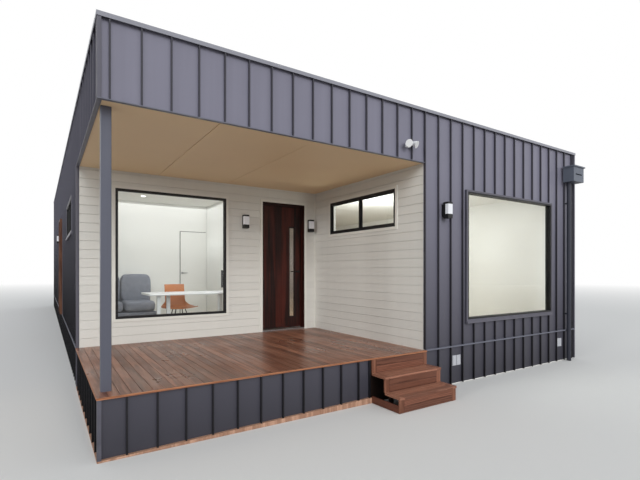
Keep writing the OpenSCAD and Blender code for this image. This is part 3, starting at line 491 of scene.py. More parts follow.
def timber(name, dark, pale, stretch, roughness):
    """Oiled hardwood: fibres along the board, also in the bump, and a tone for each board."""
    made, tree, where = material(name)
    tone = board_tone(tree)
    grain = placed(tree, GRAIN, Vector=where, Stretch=stretch, Board=tone)
    mixed = tint(tree, span(tree, grain["Grain"], 0.25, 0.75), dark, pale)
    by_tone = tint(tree, tone, (0.74, 0.72, 0.72, 1), (1.2, 1.16, 1.14, 1))
    by_board = tint(tree, 1.0, mixed, by_tone, "MULTIPLY")
    worn = noise(tree, where, 1.3, 3.0)
    dull = span(tree, worn, 0.3, 0.7, roughness - 0.1, roughness + 0.1)
    finished(tree, by_board, dull, grain["Fibre"], 0.0012, 0.7, Specular_IOR_Level=0.4)
    return made


def lining(name, colour, roughness=0.6, capped=None):
    """Painted lining sheet: roller stipple and faint clouds. Above the ceiling the colour of its
    steel cap takes over, if it has one."""
    made, tree, where = material(name)
    clouds = noise(tree, where, 0.8, 3.0)
    painted = tint(tree, span(tree, clouds, 0.3, 0.7), scaled(colour, 0.96), colour)
    if capped:
        above = span(tree, axes(tree, where)[2], PARAPET_Z, PARAPET_Z + CAP_EDGE)
        painted = tint(tree, above, painted, capped)
    stipple = noise(tree, where, 160.0, 2.0)
    finished(tree, painted, roughness, stipple, 0.0005, 0.4, Specular_IOR_Level=0.3)
    return made


def plank_floor(name):
    """Pale timber planks laid along the house, from a brick pattern in plan."""
    made, tree, where = material(name)
    turn = (0.0, 0.0, math.pi / 2)
    turned_plan = put(tree, "Mapping", {"Vector": where, "Rotation": turn}).outputs[0]
    bricks = put(tree, "TexBrick", {
        "Vector": turned_plan, "Color1": srgb(206, 192, 170), "Color2": srgb(186, 168, 142),
        "Mortar": srgb(96, 82, 66), "Scale": 1.0, "Mortar Size": 0.002, "Brick Width": 1.6,
        "Row Height": 0.16}).outputs["Color"]
    grain = placed(tree, GRAIN, Vector=where, Stretch=(30.0, 2.0, 30.0))
    streaks = tint(tree, grain["Grain"], (0.7, 0.66, 0.6, 1), (1.0, 1.0, 1.0, 1))
    streaked = tint(tree, 0.35, bricks, streaks, "MULTIPLY")
    finished(tree, streaked, 0.45, grain["Fibre"], 0.0005, 0.4)
    return made


def metal(name, colour, roughness, metallic=1.0):
    """Bare or powder-coated metal with fine brushed variation."""
    made, tree, where = material(name)
    fine = noise(tree, where, 90.0, 3.0)
    shade = tint(tree, fine, scaled(colour, 0.85), scaled(colour, 1.1))
    dull = span(tree, fine, 0.3, 0.7, roughness - 0.05, roughness + 0.08)
    finished(tree, shade, dull, fine, 0.0002, 0.3, Metallic=metallic)
    return made


def moulded(name, colour, roughness=0.4, glow=0.0):
    """Moulded plastic with a faint orange-peel skin."""
    made, tree, where = material(name)
    skin = noise(tree, where, 240.0, 2.0)
    shade = tint(tree, noise(tree, where, 6.0, 3.0), scaled(colour, 0.93), colour)
    extra = {"Emission_Color": colour, "Emission_Strength": glow} if glow else {}
    finished(tree, shade, roughness, skin, 0.0002, 0.3, **extra)
    return made


def woven(name, colour):
    """Upholstery: threads over and under from two waves, with a little pilling."""
    made, tree, where = material(name)
    warp, weft = (put(tree, "TexWave", {"Vector": where, "Scale": 110.0, "Distortion": 1.0},
                      bands_direction=axis).outputs["Fac"] for axis in "XZ")
    threads = times(tree, warp, weft)
    pills = noise(tree, where, 14.0, 4.0)
    shade = tint(tree, pills, scaled(colour, 0.7), scaled(colour, 1.2))
    finished(tree, shade, 0.9, threads, 0.0015, 0.6)
    return made


def clear_glass(name, tone, roughness=0.0):
    """Glazing: light from the lamps passes straight through it, and the eye sees it refract."""
    made, tree, where = material(name)
    smears = noise(tree, where, 2.0, 4.0)
    surface = put(tree, "BsdfPrincipled", {
        "Base Color": tone, "Roughness": span(tree, smears, 0.3, 0.8, roughness, roughness + 0.02),
        "Transmission Weight": 1.0, "IOR": 1.45})
    passing = put(tree, "BsdfTransparent", {"Color": tone})
    ray = put(tree, "LightPath").outputs
    through = math_of(tree, "MAXIMUM", ray["Is Shadow Ray"], ray["Is Diffuse Ray"])
    show_mix(tree, "OutputMaterial", through, surface, passing)
    return made


# Painted seam shade and its heights; sheet and seams are painted darker towards the ground.
SEAM_SHADE = 0.9
SEAM_EDGE = 0.004
SIDE_SEAM_LEVELS = (0.6, 3.4)
SIDE_SEAM_SHADES = (0.96, 0.6)
SHADE_LEVELS = (0.1, 3.1)
PARAPET_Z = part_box("ceiling")[1].z
CAP_EDGE = 0.01
ALONG_X, ALONG_Y, ALONG_Z = (2.4, 34.0, 34.0), (34.0, 2.4, 34.0), (34.0, 34.0, 2.4)
SAWN_ALONG_Z = (30.0, 30.0, 3.0)
cad_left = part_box("left_cladding")[0].x
cad_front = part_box("front_cladding")[0].y
cad_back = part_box("back_cladding")[1].y
cad_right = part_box("right_cladding")[1].x

# Cladding with painted seam shade and a painted darkening towards the ground.
CLADDING = seamed_steel("seamed_steel", srgb(124, 123, 138), 0.031)
TRIM = coated_steel("trim_steel", srgb(92, 91, 101), 0.9, 0.16)
POST = coated_steel("post_steel", srgb(90, 92, 104))
PIPE = coated_steel("pipe_steel", srgb(50, 52, 62))
RAINHEAD = coated_steel("rainhead_steel", srgb(92, 98, 110))
STRIP = coated_steel("strip_steel", srgb(106, 108, 120), 0.1)
# The cap's steel is paler than the cladding's: a painted sky reflection on its face.
CAP = coated_steel("cap_steel", srgb(140, 141, 150))
ROOF = coated_steel("roof_steel", srgb(120, 120, 128), spread=0.08)
BOARDS = painted_boards("cream_boards", srgb(217, 216, 210))
PORCH_TRIM = painted_boards("cream_trim", srgb(226, 225, 218), 0.03)
SOFFIT = lining("soffit_sheet", srgb(242, 214, 174), 0.5)
LINING = lining("white_lining", srgb(236, 236, 232), capped=srgb(112, 112, 120))
ROUGH_TIMBER = timber("sawn_timber", srgb(172, 130, 106), srgb(226, 182, 154), SAWN_ALONG_Z, 0.7)
DECK = timber("deck_timber", srgb(100, 62, 47), srgb(154, 108, 86), ALONG_Y, 0.34)
STEP = timber("step_timber", srgb(116, 74, 58), srgb(172, 124, 102), ALONG_X, 0.45)
# Darker copy of the step timber: painted shade on the upright riser faces.
STEP_FRONT = timber("riser_timber", srgb(88, 54, 42), srgb(130, 86, 68), ALONG_X, 0.5)
STEP_UPRIGHT = timber("upright_timber", srgb(102, 64, 48), srgb(140, 96, 76), ALONG_Z, 0.5)
# Near-black step frame timber: painted shade under the treads.
STEP_PAINTED_SHADE = timber("step_frame_timber", srgb(20, 14, 12), srgb(38, 24, 20), ALONG_Y, 0.7)
# Darker rail timber: painted shade on the rails beside the steps.
STEP_RAIL = timber("step_rail_timber", srgb(70, 40, 32), srgb(108, 66, 50), ALONG_Y, 0.6)
DOOR = timber("door_timber", srgb(14, 6, 6), srgb(70, 26, 18), (14.0, 14.0, 0.9), 0.55)
FLOOR = plank_floor("plank_floor")
DARK_FRAME = metal("dark_frame", srgb(20, 20, 22), 0.45, 0.0)
BLACK = metal("black_coat", srgb(18, 18, 19), 0.45, 0.0)
SILVER = metal("mill_aluminium", srgb(196, 198, 202), 0.3)
OPAL = moulded("opal_diffuser", srgb(238, 240, 245), 0.35)
WHITE = moulded("white_plastic", srgb(232, 233, 235), 0.4)
VENT = moulded("vent_plastic", srgb(188, 190, 196), 0.5)
GLASS = clear_glass("clear_glass", (0.95, 0.97, 0.965, 1.0))
FROST = clear_glass("door_glass", (0.7, 0.62, 0.58, 1.0), 0.25)

FINISHES = {
    CLADDING: ["front_cladding", "fascia_cladding", "skirting_cladding", "left_cladding",
               "right_cladding", "back_cladding"],
    TRIM: ["corner_flashings", "window_surrounds"],
    STRIP: ["strip_flashings"],
    PIPE: ["downpipe"],
    RAINHEAD: ["rainhead"],
    POST: ["post"],
    CAP: ["cap_flashing"],
    ROOF: ["roof", "roof_sheet", "box_gutter", "porch_beams"],
    PORCH_TRIM: ["porch_trims"],
    LINING: ["front_wall", "left_wall", "right_wall", "back_wall", "doorway_walls", "inner_walls",
             "ceiling", "porch_back_wall", "porch_side_wall"],
    SOFFIT: ["porch_ceiling"],
    ROUGH_TIMBER: ["deck_frame", "gutter_boards"],
    FLOOR: ["floor"],
    DECK: ["deck"],
    STEP: ["step_treads", "step_frame"],
    DARK_FRAME: ["window_frames"],
    GLASS: ["window_glass"],
    FROST: ["front_door_glass"],
    DOOR: ["door_frames", "front_door", "side_door"],
    SILVER: ["door_sills"],
    BLACK: ["front_door_lever", "side_door_lever", "wall_lights"],
    OPAL: ["light_diffusers"],
    WHITE: ["floodlight"],
    VENT: ["vents"],
}
for finish, names in FINISHES.items():
    for name in names:
        slots = nodes[name].data.materials
        slots.clear()
        slots.append(finish)


# Porch boards

BOARD_PITCH = 0.130
BOARD_T = 0.014
BOARD_TAPER = 0.0045
LAP_H = 0.0055
LAP_DEPTH = 0.008
UNDER_TRIM = 0.004
WIDE_IN_DEPTH = 0.5
FASCIA_DEPTH = 0.041
BEAD_SIZE = 0.02
BEAD_OUT = 0.008


def spare_runs(low, high, blocks):
    """Stretches of a run from low to high that are left free by blocks, (low, high) each."""
    runs, start = [], low
    for block_low, block_high in sorted(blocks):
        if block_low > start:
            runs.append((start, min(block_low, high)))
        start = max(start, block_high)
    if start < high:
        runs.append((start, high))
    return runs


def lapped_boards(origin, along, out, length, bottom, top, holes):
    """Lapped boards on a wall: each outline leans in by its taper and ends in a groove under the
    next board. It is carried along the wall between the holes, (start, end, low, high) each, and
    a board is cut in height where a hole's edge crosses it."""
    levels = bottom + BOARD_PITCH * np.arange(int((top - bottom) / BOARD_PITCH) + 1)
    bars = []
    for row, level in enumerate(levels):
        row_top = min(level + BOARD_PITCH, top)
        edges = {z for hole in holes for z in hole[2:] if level < z < row_top}
        cuts = sorted({level, row_top} | edges)
        for low, high in zip(cuts[:-1], cuts[1:]):
            middle = (low + high) / 2
            blocks = [hole[:2] for hole in holes if hole[2] < middle < hole[3]]
            bars.extend((row, low, high, *run) for run in spare_runs(0.0, length, blocks))
    row, low, high, start, end = np.array(bars).T
    level = levels[row.astype(int)]

    def face(z):
        return BOARD_T - BOARD_TAPER * np.clip((z - level) / BOARD_PITCH, 0, 1)

    groove = level + BOARD_PITCH - LAP_H
    top_face = np.minimum(high, groove)
    lap = np.where(high > groove, face(high) - LAP_DEPTH, face(top_face))
    zero = np.zeros_like(low)
    outline = np.stack([np.stack(corner, 1) for corner in (
        (zero, low), (face(low), low), (face(top_face), top_face),
        (lap, top_face), (lap, high), (zero, high))], 1)
    points, faces, per_bar = carried(outline, origin + start[:, None] * along,
                                     origin + end[:, None] * along, out, Z)
    tone = rng.random(len(levels))[row.astype(int)]
    return points, faces, np.repeat(tone, per_bar)


def porch_boards():
    """Boards of the porch's back wall and of its side wall, with the trims' outlines left free."""
    trims = solids_of("porch_trims")
    deck_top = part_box("deck")[1].z
    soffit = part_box("porch_ceiling")[0].z
    back_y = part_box("porch_back_wall")[0].y
    side_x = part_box("porch_side_wall")[0].x
    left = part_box("left_wall")[0].x
    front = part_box("fascia_cladding")[0].y + FASCIA_DEPTH
    back_holes, side_holes = [], []
    for low, high in trims:
        on_side = high[1] - low[1] > WIDE_IN_DEPTH
        axis, start, holes = (1, front, side_holes) if on_side else (0, left, back_holes)
        holes.append((low[axis] + UNDER_TRIM - start, high[axis] - UNDER_TRIM - start,
                      low[2] + UNDER_TRIM, high[2] - UNDER_TRIM))
    back = lapped_boards(np.array([left, back_y, 0]), X, -Y, side_x - BOARD_T - left,
                         deck_top, soffit, back_holes)
    side = lapped_boards(np.array([side_x, front, 0]), Y, -X, back_y - front,
                         deck_top, soffit, side_holes)
    piece("porch_boards", joined(back, side), BOARDS, "porch_boards",
          board=np.concatenate([back[2], side[2]]))
    corner = [side_x - BOARD_T - BEAD_OUT, back_y - BOARD_T - BEAD_OUT]
    bead = carried(rounded(BEAD_SIZE, BEAD_SIZE, 0.003), [*corner, deck_top], [*corner, soffit],
                   X, Y)
    piece("porch_corner_bead", bead, PORCH_TRIM, "porch_boards", board=0.6)


porch_boards()


# Deck

def deck_boards():
    """Decking laid into the depth: a rounded board outline carried from front to back, with an edge
    strip round the open sides, a short lip over the steps' end and screws over every joist."""
    low, high = map(np.array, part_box("deck"))
    strip, gap, count = 0.006, 0.004, 43
    lip, lip_depth = 0.022, 0.047
    board_edge, strip_edge, behind, slack = 0.003, 0.001, 0.002, 0.001
    thick = high[2] - low[2]
    level = high[2] - thick / 2
    right = high[0] - lip
    pitch = (right - low[0] - strip + gap) / count
    left = low[0] + strip + pitch * np.arange(count)
    start = points_at(left + (pitch - gap) / 2, low[1] + strip, level)
    boards = carried(rounded(pitch - gap, thick, board_edge), start,
                     moved_to(start, 1, high[1] - behind), -X, Z)
    lip_x = right + lip / 2
    end_piece = carried(rounded(lip - slack, thick, board_edge), [lip_x, low[1] + strip, level],
                        [lip_x, low[1] + lip_depth, level], -X, Z)
    tone = rng.random(count)
    tones = np.concatenate([np.repeat(tone, boards[2]), np.full(len(end_piece[0]), tone[-1])])
    made = piece("deck_boards", joined(boards, end_piece), DECK, "deck_timber", board=tones)
    edge = rounded(strip - slack / 2, thick, strip_edge)
    front_y, left_x = low[1] + strip / 2, low[0] + strip / 2
    front = carried(edge, [low[0], front_y, level], [high[0], front_y, level], Y, Z)
    side = carried(edge, [left_x, low[1] + strip, level], [left_x, high[1], level], X, Z)
    piece("deck_edge_strip", joined(front, side), DECK_EDGE, "deck_timber", board=0.9)
    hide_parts("deck")
    first_row, joist_pitch, screw_in, sunk = 0.09, 0.45, 0.018, 0.0015
    rows = np.arange(low[1] + first_row, high[1], joist_pitch)
    pair = np.array([screw_in, pitch - gap - screw_in])
    across, along = np.meshgrid((left[:, None] + pair).ravel(), rows, indexing="ij")
    centres = points_at(across.ravel(), along.ravel(), high[2] - sunk)
    screws = turned([(0.0038, 0), (0.0038, 0.0012), (0.002, 0.0008)], centres, Z, 8)
    piece("deck_screws", screws, SCREW, "deck_timber")


DECK_EDGE = timber("deck_edge", srgb(120, 76, 52), srgb(172, 120, 88), ALONG_X, 0.5)
SCREW = metal("screw_steel", srgb(120, 112, 104), 0.4, 0.8)
deck_boards()


# Steps

def step_boards():
    """Steps of rounded boards: every tread is three boards carried across with one carried into
    the depth at either end, and every riser is two boards between upright ones."""
    frame_low, frame_high = map(np.array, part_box("step_frame"))
    treads = sorted(solids_of("step_treads"), key=lambda box: -box[1][2])
    left, right = frame_low[0], frame_high[0]
    end_w, gap, board_t, ledge = 0.075, 0.002, 0.02, 0.012
    tread_edge, edge, stud_edge = 0.004, 0.003, 0.002
    inner_left, inner_right = left + end_w + gap, right - end_w - gap
    end_xs = np.array([left + end_w / 2, right - end_w / 2])
    flat, fronts, uprights = [], [], []
    for low, high in treads:
        thick = high[2] - low[2]
        level = (low[2] + high[2]) / 2
        pitch = (high[1] - low[1] + gap) / 3
        middle = low[1] + pitch * np.arange(3) + (pitch - gap) / 2
        start = points_at(inner_left, middle, level)
        flat.append(carried(rounded(pitch - gap, thick, tread_edge), start,
                            moved_to(start, 0, inner_right), Y, Z))
        ends = points_at(end_xs, low[1], level)
        flat.append(carried(rounded(end_w, thick, tread_edge), ends,
                            ends + [0, high[1] - low[1], 0], -X, Z))
    levels = [frame_high[2], *(box[0][2] for box in treads)]
    feet = [*(box[1][2] for box in treads), 0.0]
    faces = [treads[0][1][1], *(box[0][1] + ledge for box in treads)]
    for top, foot, face in zip(levels, feet, faces):
        half = (top - foot - gap) / 2
        start = points_at(inner_left, face + board_t / 2, [foot + half / 2, top - half / 2])
        fronts.append(carried(rounded(board_t, half, edge), start,
                              moved_to(start, 0, inner_right), Y, Z))
        posts = points_at(end_xs, face + board_t / 2, foot)
        uprights.append(carried(rounded(end_w, board_t, edge), posts,
                                posts + [0, 0, top - foot], X, Y))
    # Riser boards take the darker riser timber: painted shade on their upright faces.
    for name, parts, finish in (("step_tread_boards", flat, STEP),
                                ("step_riser_boards", fronts, STEP_FRONT),
                                ("step_uprights", uprights, STEP_UPRIGHT)):
        tone = np.concatenate([np.repeat(rng.random(len(part[0]) // part[2]), part[2])
                               for part in parts])
        made = piece(name, joined(*parts), finish, "deck_timber", board=tone)
        if finish is STEP:
            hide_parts("step_treads")
    inset, stud, rail_h = 0.12, 0.045, 0.09
    low_tread, high_tread = treads[-1], treads[0]
    back = faces[0] + board_t
    middle_y, middle_z = (back + frame_high[1]) / 2, levels[0] / 2
    frames = [carried(rounded(frame_high[1] - back, levels[0], stud_edge),
                      [left, middle_y, middle_z], [right, middle_y, middle_z], Y, Z)]
    for x in (left + inset + stud / 2, right - inset - stud / 2):
        for tread, face in ((high_tread, faces[1]), (low_tread, faces[2])):
            near = face + board_t
            rear = treads[0][1][1] if tread is high_tread else faces[1]
            top = tread[0][2]
            post = rounded(stud, stud, stud_edge)
            frames.append(carried(post, [x, near, top - stud / 2], [x, rear, top - stud / 2],
                                  -X, Z))
            frames.append(carried(post, [x, near + stud / 2, 0], [x, near + stud / 2, top - stud],
                                  X, Y))
    side, foot = right - board_t, rail_h + gap
    frames.append(bar([side, faces[1] + board_t, foot], [right, back - board_t, high_tread[0][2]]))
    frames.append(bar([side, faces[2] + board_t, foot],
                      [right, faces[1] + board_t, low_tread[0][2]]))
    # The supports take the near-black timber: painted shade under the steps.
    made = piece("step_supports", joined(*frames), STEP_PAINTED_SHADE, "deck_timber", board=0.4)
    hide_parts("step_frame")
    # The rails take the darker rail timber: painted shade.
    rails = points_at([left + board_t / 2, right - board_t / 2], faces[2] + board_t, rail_h / 2)
    rails = carried(rounded(board_t, rail_h, edge), rails,
                    rails + [0, faces[0] - faces[2] - board_t, 0], -X, Z)
    piece("step_rails", rails, STEP_RAIL, "deck_timber", board=0.9)


step_boards()


# Soffit

SOFFIT_JOINTS = (-2.9335, -1.7925)
BACKING_T = 0.004


def soffit_sheets():
    """Soffit sheets with open joints between them: slabs with eased edges, carried in depth."""
    low, high = map(np.array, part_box("porch_ceiling"))
    joints = np.array([low[0], *SOFFIT_JOINTS, high[0]])
    gap, edge = 0.006, 0.003
    left, right = joints[:-1] + gap / 2, joints[1:] - gap / 2
    outline = np.stack([rounded(width, high[2] - low[2], edge) for width in right - left])
    start = points_at((left + right) / 2, low[1], (low[2] + high[2]) / 2)
    sheets = carried(outline, start, start + [0, high[1] - low[1], 0], -X, Z)
    made = piece("soffit_sheets", sheets, SOFFIT, "porch_lining")
    x, z = (low[0] + high[0]) / 2, high[2] - BACKING_T / 2
    backing = carried(rounded(high[0] - low[0], BACKING_T, 0.001), [x, low[1], z],
                      [x, high[1], z], -X, Z)
    piece("soffit_backing", backing, ROUGH_TIMBER, "porch_lining")
    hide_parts("porch_ceiling")


soffit_sheets()


# Windows and doors

SLIM_PANE = 0.7
SASH_W, PANE_BEAD_W = 0.034, 0.012
BEAD_LOW, BEAD_HIGH, PANE_GAP = 0.005, 0.008, 0.0002


def gaskets():
    """Dark mitred beads round every pane, and round slim panes ones as wide as a sash."""
    parts = []
    for low, high in solids_of("window_glass"):
        size = high - low
        side, out = (X, Y) if size[0] > size[1] else (Y, X)
        wide = SASH_W if size[2] < SLIM_PANE else PANE_BEAD_W
        reach = -min(size[:2]) / 2
        slope = np.array([[-wide, reach - BEAD_LOW], [0.0, reach - BEAD_HIGH],
                          [0.0, reach - PANE_GAP], [-wide, reach - PANE_GAP]])
        across = (low + high) / 2 * out
        for outline in (slope, (slope * [1, -1])[::-1]):
            parts.append(framed(outline, across + low * side + low * Z,
                                across + high * side + high * Z, side, Z, out))
    face_outwards(piece("window_gaskets", joined(*parts), GASKET, "window_frame"))


def front_door_boards():
    """Upright boards on the door's outer face: bevelled outlines carried upwards and parted round
    the glass, which has a slim dark frame."""
    low, high = map(np.array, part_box("front_door"))
    lite_low, lite_high = map(np.array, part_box("front_door_glass"))
    margin, thick, count, gap, sunk, edge = 0.03, 0.003, 6, 0.005, 0.0005, 0.0012
    rim, rim_out, rim_slope = 0.014, 0.005, 0.002
    edges = np.linspace(low[0] + margin, high[0] - margin, count + 1)
    face = low[1] - thick / 2 + sunk
    bottom, top = low[2] + margin, high[2] - margin
    hole = (lite_low[0] - rim, lite_high[0] + rim, lite_low[2] - rim, lite_high[2] + rim)
    bars = []
    for number, (left, right) in enumerate(zip(edges[:-1] + gap / 2, edges[1:] - gap / 2)):
        if right <= hole[0] or left >= hole[1]:
            bars.append((left, right, bottom, top, number))
            continue
        bars += [(left, right, bottom, hole[2], number), (left, right, hole[3], top, number)]
        bars += [(*run, *hole[2:], number) for run in spare_runs(left, right, [hole[:2]])
                 if run[1] - run[0] > gap]
    left, right, bottom, top, number = np.array(bars).T
    outline = np.stack([rounded(width, thick, edge) for width in right - left])
    middle = (left + right) / 2
    boards = carried(outline, points_at(middle, face, bottom), points_at(middle, face, top), X, Y)
    tone = rng.random(count)[number.astype(int)]
    piece("front_door_boards", boards, DOOR, "door_timber", body=DOOR_BODY,
          board=np.repeat(tone, boards[2]))
    bead = np.array([[0.0, 0.0], [rim, 0.0], [rim, -rim_out], [rim_slope, -rim_out]])
    ring = framed(bead[::-1], moved_to(lite_low[None], 1, low[1] + sunk),
                  moved_to(lite_high[None], 1, low[1] + sunk), X, Z, Y)
    face_outwards(piece("front_door_bead", ring, GASKET, "door_timber", body=DOOR_BODY))


def vent_louvres():
    """Louvre blades on each vent: a slanted blade outline carried across, one under the other."""
    parts = []
    pitch, above, below, margin = 0.013, 0.012, 0.008, 0.006
    blade = np.array([[-0.004, -0.003], [-0.004, -0.001], [0.0, 0.006], [0.0, 0.0]])
    for low, high in solids_of("vents"):
        rows = np.arange(low[2] + above, high[2] - below, pitch)
        start = points_at(low[0] + margin, low[1], rows)
        parts.append(carried(blade, start, moved_to(start, 0, high[0] - margin), Y, Z))
    piece("vent_louvres", joined(*parts), VENT, "white_plastic")


# Rooms seen through the windows

ROOM_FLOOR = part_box("floor")[1].z
ROOM_BACK = solids_of("inner_walls")[0][0][1]
ROOM_SIDE = solids_of("inner_walls")[1][0][0]
LIFT = [0, 0, ROOM_FLOOR]
CHAIR_AT = (-2.36, -6.05)


def signed_power(value, power):
    return np.sign(value) * np.abs(value) ** power


def cushion(low, high, power=0.3, crown=0.6, rings=20, sides=36):
    """Crowned cushion between two corners: signed powers of the cosines and sines of two angles,
    with the poles closed by small flat ends."""
    low, high = np.array(low, float), np.array(high, float)
    pole = math.pi / 2 - 0.03
    u = np.linspace(-pole, pole, rings)[:, None]
    v = (np.arange(sides) * 2 * math.pi / sides)[None]
    wide = signed_power(np.cos(u), power)
    shape = np.stack([wide * signed_power(np.cos(v), power), wide * signed_power(np.sin(v), power),
                      signed_power(np.sin(u), crown) + 0 * v], -1)
    points = (low + high) / 2 + shape * (high - low) / 2
    return points.reshape(-1, 3), tube_faces(rings, sides)


def standing(*bars):
    """Bars (low, high, edge radius, axis) as one, with their heights counted from the floor."""
    return joined(*[bar(np.add(low, LIFT), np.add(high, LIFT), radius, axis)
                    for low, high, radius, axis in bars])


def couch():
    """Frame with a seat board, a back and two front legs, and four padded cushions."""
    rear = ROOM_BACK - 0.03
    piece("couch_frame", standing(
        ((-3.75, -4.9, 0.09), (-2.55, rear, 0.28), 0.02, 0),
        ((-3.75, -4.25, 0.28), (-2.55, rear, 0.86), 0.05, 0),
        ((-3.7, -4.8, 0), (-3.64, -4.74, 0.1), 0.01, 2),
        ((-2.66, -4.8, 0), (-2.6, -4.74, 0.1), 0.01, 2)), COUCH)
    for name, low, high in (
            ("couch_seat_left", (-3.74, -4.92, 0.28), (-3.155, -4.2, 0.5)),
            ("couch_seat_right", (-3.145, -4.92, 0.28), (-2.56, -4.2, 0.5)),
            ("couch_back_left", (-3.74, -4.42, 0.46), (-3.155, -4.18, 1.03)),
            ("couch_back_right", (-3.145, -4.42, 0.46), (-2.56, -4.18, 1.03))):
        made = piece(name, cushion(np.add(low, LIFT), np.add(high, LIFT)), COUCH)
        for polygon in made.data.polygons:
            polygon.use_smooth = True


def table_and_screen():
    """White table on four legs, and a dark screen on its stand."""
    top = 0.68
    piece("table", standing(
        ((-3.0, -6.5, top), (-1.45, -5.75, 0.71), 0.012, 0),
        ((-2.86, -6.38, 0), (-2.8, -6.32, top), 0.01, 2),
        ((-2.65, -6.16, 0), (-2.59, -6.1, top), 0.01, 2),
        ((-1.8, -6.38, 0), (-1.76, -6.34, top), 0.008, 2),
        ((-1.6, -5.95, 0), (-1.56, -5.91, top), 0.008, 2)), WHITE)
    piece("screen", standing(
        ((-1.72, -6.33, 0.79), (-1.2, -6.3, 1.11), 0.006, 0),
        ((-1.5, -6.32, 0.71), (-1.42, -6.29, 0.82), 0.004, 2),
        ((-1.58, -6.38, 0.705), (-1.34, -6.24, 0.715), 0.003, 0)), BLACK)


def chair():
    """Tan shell on four slanted legs: a strip in s runs from the seat's front edge back to the bend
    and up to the top of the back, and curls up a little at both sides."""
    seat_end, seat_depth, seat_h, seat_dip = 0.52, 0.44, 0.42, 0.02
    bend_start, back_rise, back_lean = 0.46, 0.42, 0.1
    s, across = np.meshgrid(np.linspace(0, 1, 24), np.linspace(-1, 1, 14), indexing="ij")
    turn = np.clip((s - 0.42) / 0.2, 0, 1)
    forward = np.where(s < seat_end, seat_depth * s / seat_end,
                       seat_depth + back_lean * (s - seat_end) / (1 - seat_end))
    rise = (back_rise * np.clip((s - bend_start) / (1 - bend_start), 0, 1) ** 1.15
            - seat_dip * np.sin(math.pi * np.clip(s / bend_start, 0, 1)))
    width = 0.23 - 0.05 * turn
    curl = across ** 2
    points = np.stack([
        CHAIR_AT[0] + width * across + 0.06 * (1 - turn) * across,
        CHAIR_AT[1] + forward + 0 * across - 0.05 * turn * curl + 0.05 * turn,
        ROOM_FLOOR + seat_h + rise + 0.03 * (1 - turn) * curl], -1)
    shell = piece("chair_shell", (points.reshape(-1, 3), [grid_quads(*s.shape)]), LEATHER)
    shell.modifiers.new("thickness", "SOLIDIFY").thickness = 0.012
    feet = points_at([-2.55, -2.17, -2.52, -2.2], [-6.1, -6.1, -5.6, -5.6], ROOM_FLOOR)
    tops = points_at([-2.44, -2.28, -2.44, -2.28], [-5.95, -5.95, -5.75, -5.75],
                     ROOM_FLOOR + 0.41)
    legs = carried(rounded(0.018, 0.018, 0.008), feet, tops, X, Y)
    piece("chair_legs", legs, BLACK)


def inner_door():
    """Plain leaf, black strips that paint the shadow in the gap round it, and a lever, on the
    room's back wall.
    """
    left, gap_left, top, gap_top = -1.83, -1.845, 2.0, 2.012
    right, face, gap_face = ROOM_SIDE - 0.02, ROOM_BACK - 0.0005, ROOM_BACK - 0.004
    leaf_y = ROOM_BACK - 0.008
    piece("inner_door", standing(((left, leaf_y, 0.01), (right, face, top), 0.002, 2)), LINING)
    # Black strips beside and over the leaf: painted shadow in the door's gap.
    piece("inner_door_painted_gap_shadow", standing(
        ((gap_left, gap_face, 0), (left, face, gap_top), 0.001, 2),
        ((gap_left, gap_face, 2.001), (right, face, gap_top), 0.001, 0)), GASKET)
    rose = turned([(0.026, 0), (0.026, 0.008), (0.009, 0.01), (0.009, 0.05)],
                  [-1.79, leaf_y, ROOM_FLOOR + 1.05], -Y)
    handle = standing(((-1.8, ROOM_BACK - 0.062, 1.04), (-1.68, ROOM_BACK - 0.05, 1.06), 0.004, 0))
    piece("inner_door_lever", joined(rose, handle), SILVER)


def ceiling_spots():
    """Round spots in the room's ceiling."""
    spots = points_at([-2.765, -2.765, -1.7], [-4.674, -5.9, -5.3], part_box("ceiling")[0].z)
    discs = turned([(0.045, 0.0), (0.045, 0.003), (0.036, 0.004)], spots, -Z, 20)
    piece("room_spots", discs, GLOW)


def side_door_boards():
    """Timber boards on either side of the side door and over it, out past the metal surround."""
    low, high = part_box("side_door")
    wide, past, over, gap, proud, clear = 0.044, 0.04, 0.02, 0.0005, 0.06, 0.0055
    outer, inner = cad_left - proud, cad_left - clear
    y = [low.y - past, high.y + past]
    top = high.z + over
    posts = [bar([outer, edge, low.z], [inner, edge + wide, top], 0.002, 2)
             for edge in (y[0], y[1] - wide)]
    head = bar([outer, y[0], top + gap], [inner, y[1], top + gap + wide], 0.002, 1)
    piece("side_door_boards", joined(*posts, head), SIDE_TIMBER, "door_timber")


DOOR_BODY = next(name for name in frame["bodies"] if "front_door" in name)
SIDE_TIMBER = timber("side_door_timber", srgb(84, 54, 42), srgb(128, 90, 70), SAWN_ALONG_Z, 0.6)
GASKET = moulded("black_gasket", srgb(16, 16, 18), 0.6)
COUCH = woven("couch_fabric", srgb(126, 130, 142))
LEATHER = moulded("tan_leather", srgb(188, 112, 54), 0.45)
GLOW = moulded("spot_lens", srgb(255, 252, 244), 0.4, 4.0)
gaskets()
front_door_boards()
side_door_boards()
vent_louvres()
couch()
table_and_screen()
chair()
inner_door()
ceiling_spots()


# Stage and light

FLOOR_RADIUS = 120.0
FLOOR_Z = -0.002
FLOOR_SIDES = 64
FADE = (16.0, 55.0)
WHITE_LIGHT = (1, 1, 1, 1)
PALE = (0.97, 1.0, 0.99)


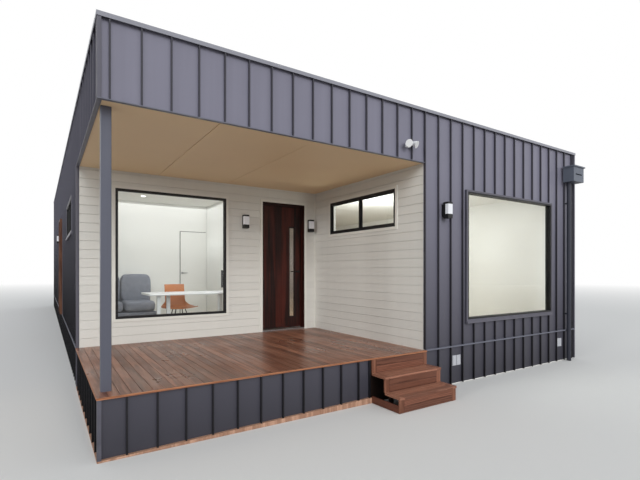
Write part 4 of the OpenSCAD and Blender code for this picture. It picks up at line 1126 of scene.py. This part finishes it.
def stage():
    """Plain pale floor that fades to white far out for the eye."""
    angle = np.arange(FLOOR_SIDES) * 2 * math.pi / FLOOR_SIDES
    points = points_at(FLOOR_RADIUS * np.cos(angle), FLOOR_RADIUS * np.sin(angle), FLOOR_Z)
    mesh = bpy.data.meshes.new("floor")
    mesh.from_pydata(points.tolist(), [], [list(range(FLOOR_SIDES))])
    floor = linked("stage_floor", mesh)
    made, tree, where = material("stage_floor")
    distance = put(tree, "VectorMath", {0: where}, operation="LENGTH").outputs["Value"]
    by_eye = put(tree, "LightPath").outputs["Is Camera Ray"]
    tone = tint(tree, by_eye, (0.5, 0.48, 0.46, 1), (0.78, 0.78, 0.77, 1))
    pale = put(tree, "BsdfDiffuse", {"Color": tone})
    white = put(tree, "Emission", {"Color": WHITE_LIGHT, "Strength": 1.0})
    far = times(tree, seen(tree), span(tree, distance, *FADE))
    show_mix(tree, "OutputMaterial", far, pale, white)
    mesh.materials.append(made)


def sky(strength):
    """Even sky: its strength lights the house, and the eye, mirrors and glass see plain white."""
    world = bpy.data.worlds.new("sky")
    scene.world = world
    world.use_nodes = True
    tree = world.node_tree
    tree.nodes.clear()
    light = put(tree, "Background", {"Color": (0.93, 0.965, 1.0, 1), "Strength": strength})
    white = put(tree, "Background", {"Color": WHITE_LIGHT, "Strength": 1.0})
    show_mix(tree, "OutputWorld", seen(tree), light, white)


def lamp(name, kind, location, target, energy, size, colour=(1, 1, 1)):
    """Lamp that eye and mirrors don't see. A sun's size is its angle, an area's its two sides."""
    data = bpy.data.lights.new(name, kind)
    data.energy = energy
    data.color = colour
    if kind == "SUN":
        data.angle = math.radians(size)
    else:
        data.shape = "RECTANGLE"
        data.size, data.size_y = size
    made = linked(name, data)
    made.location = location
    made.rotation_euler = (Vector(target) - Vector(location)).to_track_quat("-Z", "Y").to_euler()
    made.visible_camera = made.visible_transmission = made.visible_glossy = False


stage()
sky(0.55)
lamp("high_sun", "SUN", (-2, -20, 16), (0, 0, 0), 0.5, 40.0, (1.0, 0.99, 0.97))
lamp("low_sun", "SUN", (-2, -20, 7.0), (0, 0, 0), 1.35, 30.0)
lamp("side_sun", "SUN", (-20, -4, 2.6), (0, 0, 0), 0.8, 10.0)
lamp("room_light", "AREA", (-1.0, -3.0, 3.15), (-1.0, -3.0, 0), 95.0, (5.0, 5.0))
lamp("room_wall_light", "AREA", (-2.0, -6.5, 2.2), (-2.4, -3.9, 1.4), 17.0, (3.0, 1.4))
lamp("front_room_light", "AREA", (2.1, -8.0, 3.15), (2.1, -8.0, 0), 16.0, (3.0, 2.0))
lamp("front_wall_light", "AREA", (0.5, -8.1, 1.9), (4.0, -8.0, 1.6), 14.0, (2.0, 2.0),
     (0.96, 1.0, 0.98))
lamp("front_back_light", "AREA", (1.6, -9.3, 2.2), (1.4, -6.7, 2.9), 16.0, (2.4, 0.8), PALE)
lamp("high_window_light", "AREA", (1.3, -7.3, 2.35), (1.3, -6.69, 3.0), 45.0, (1.8, 0.4), PALE)
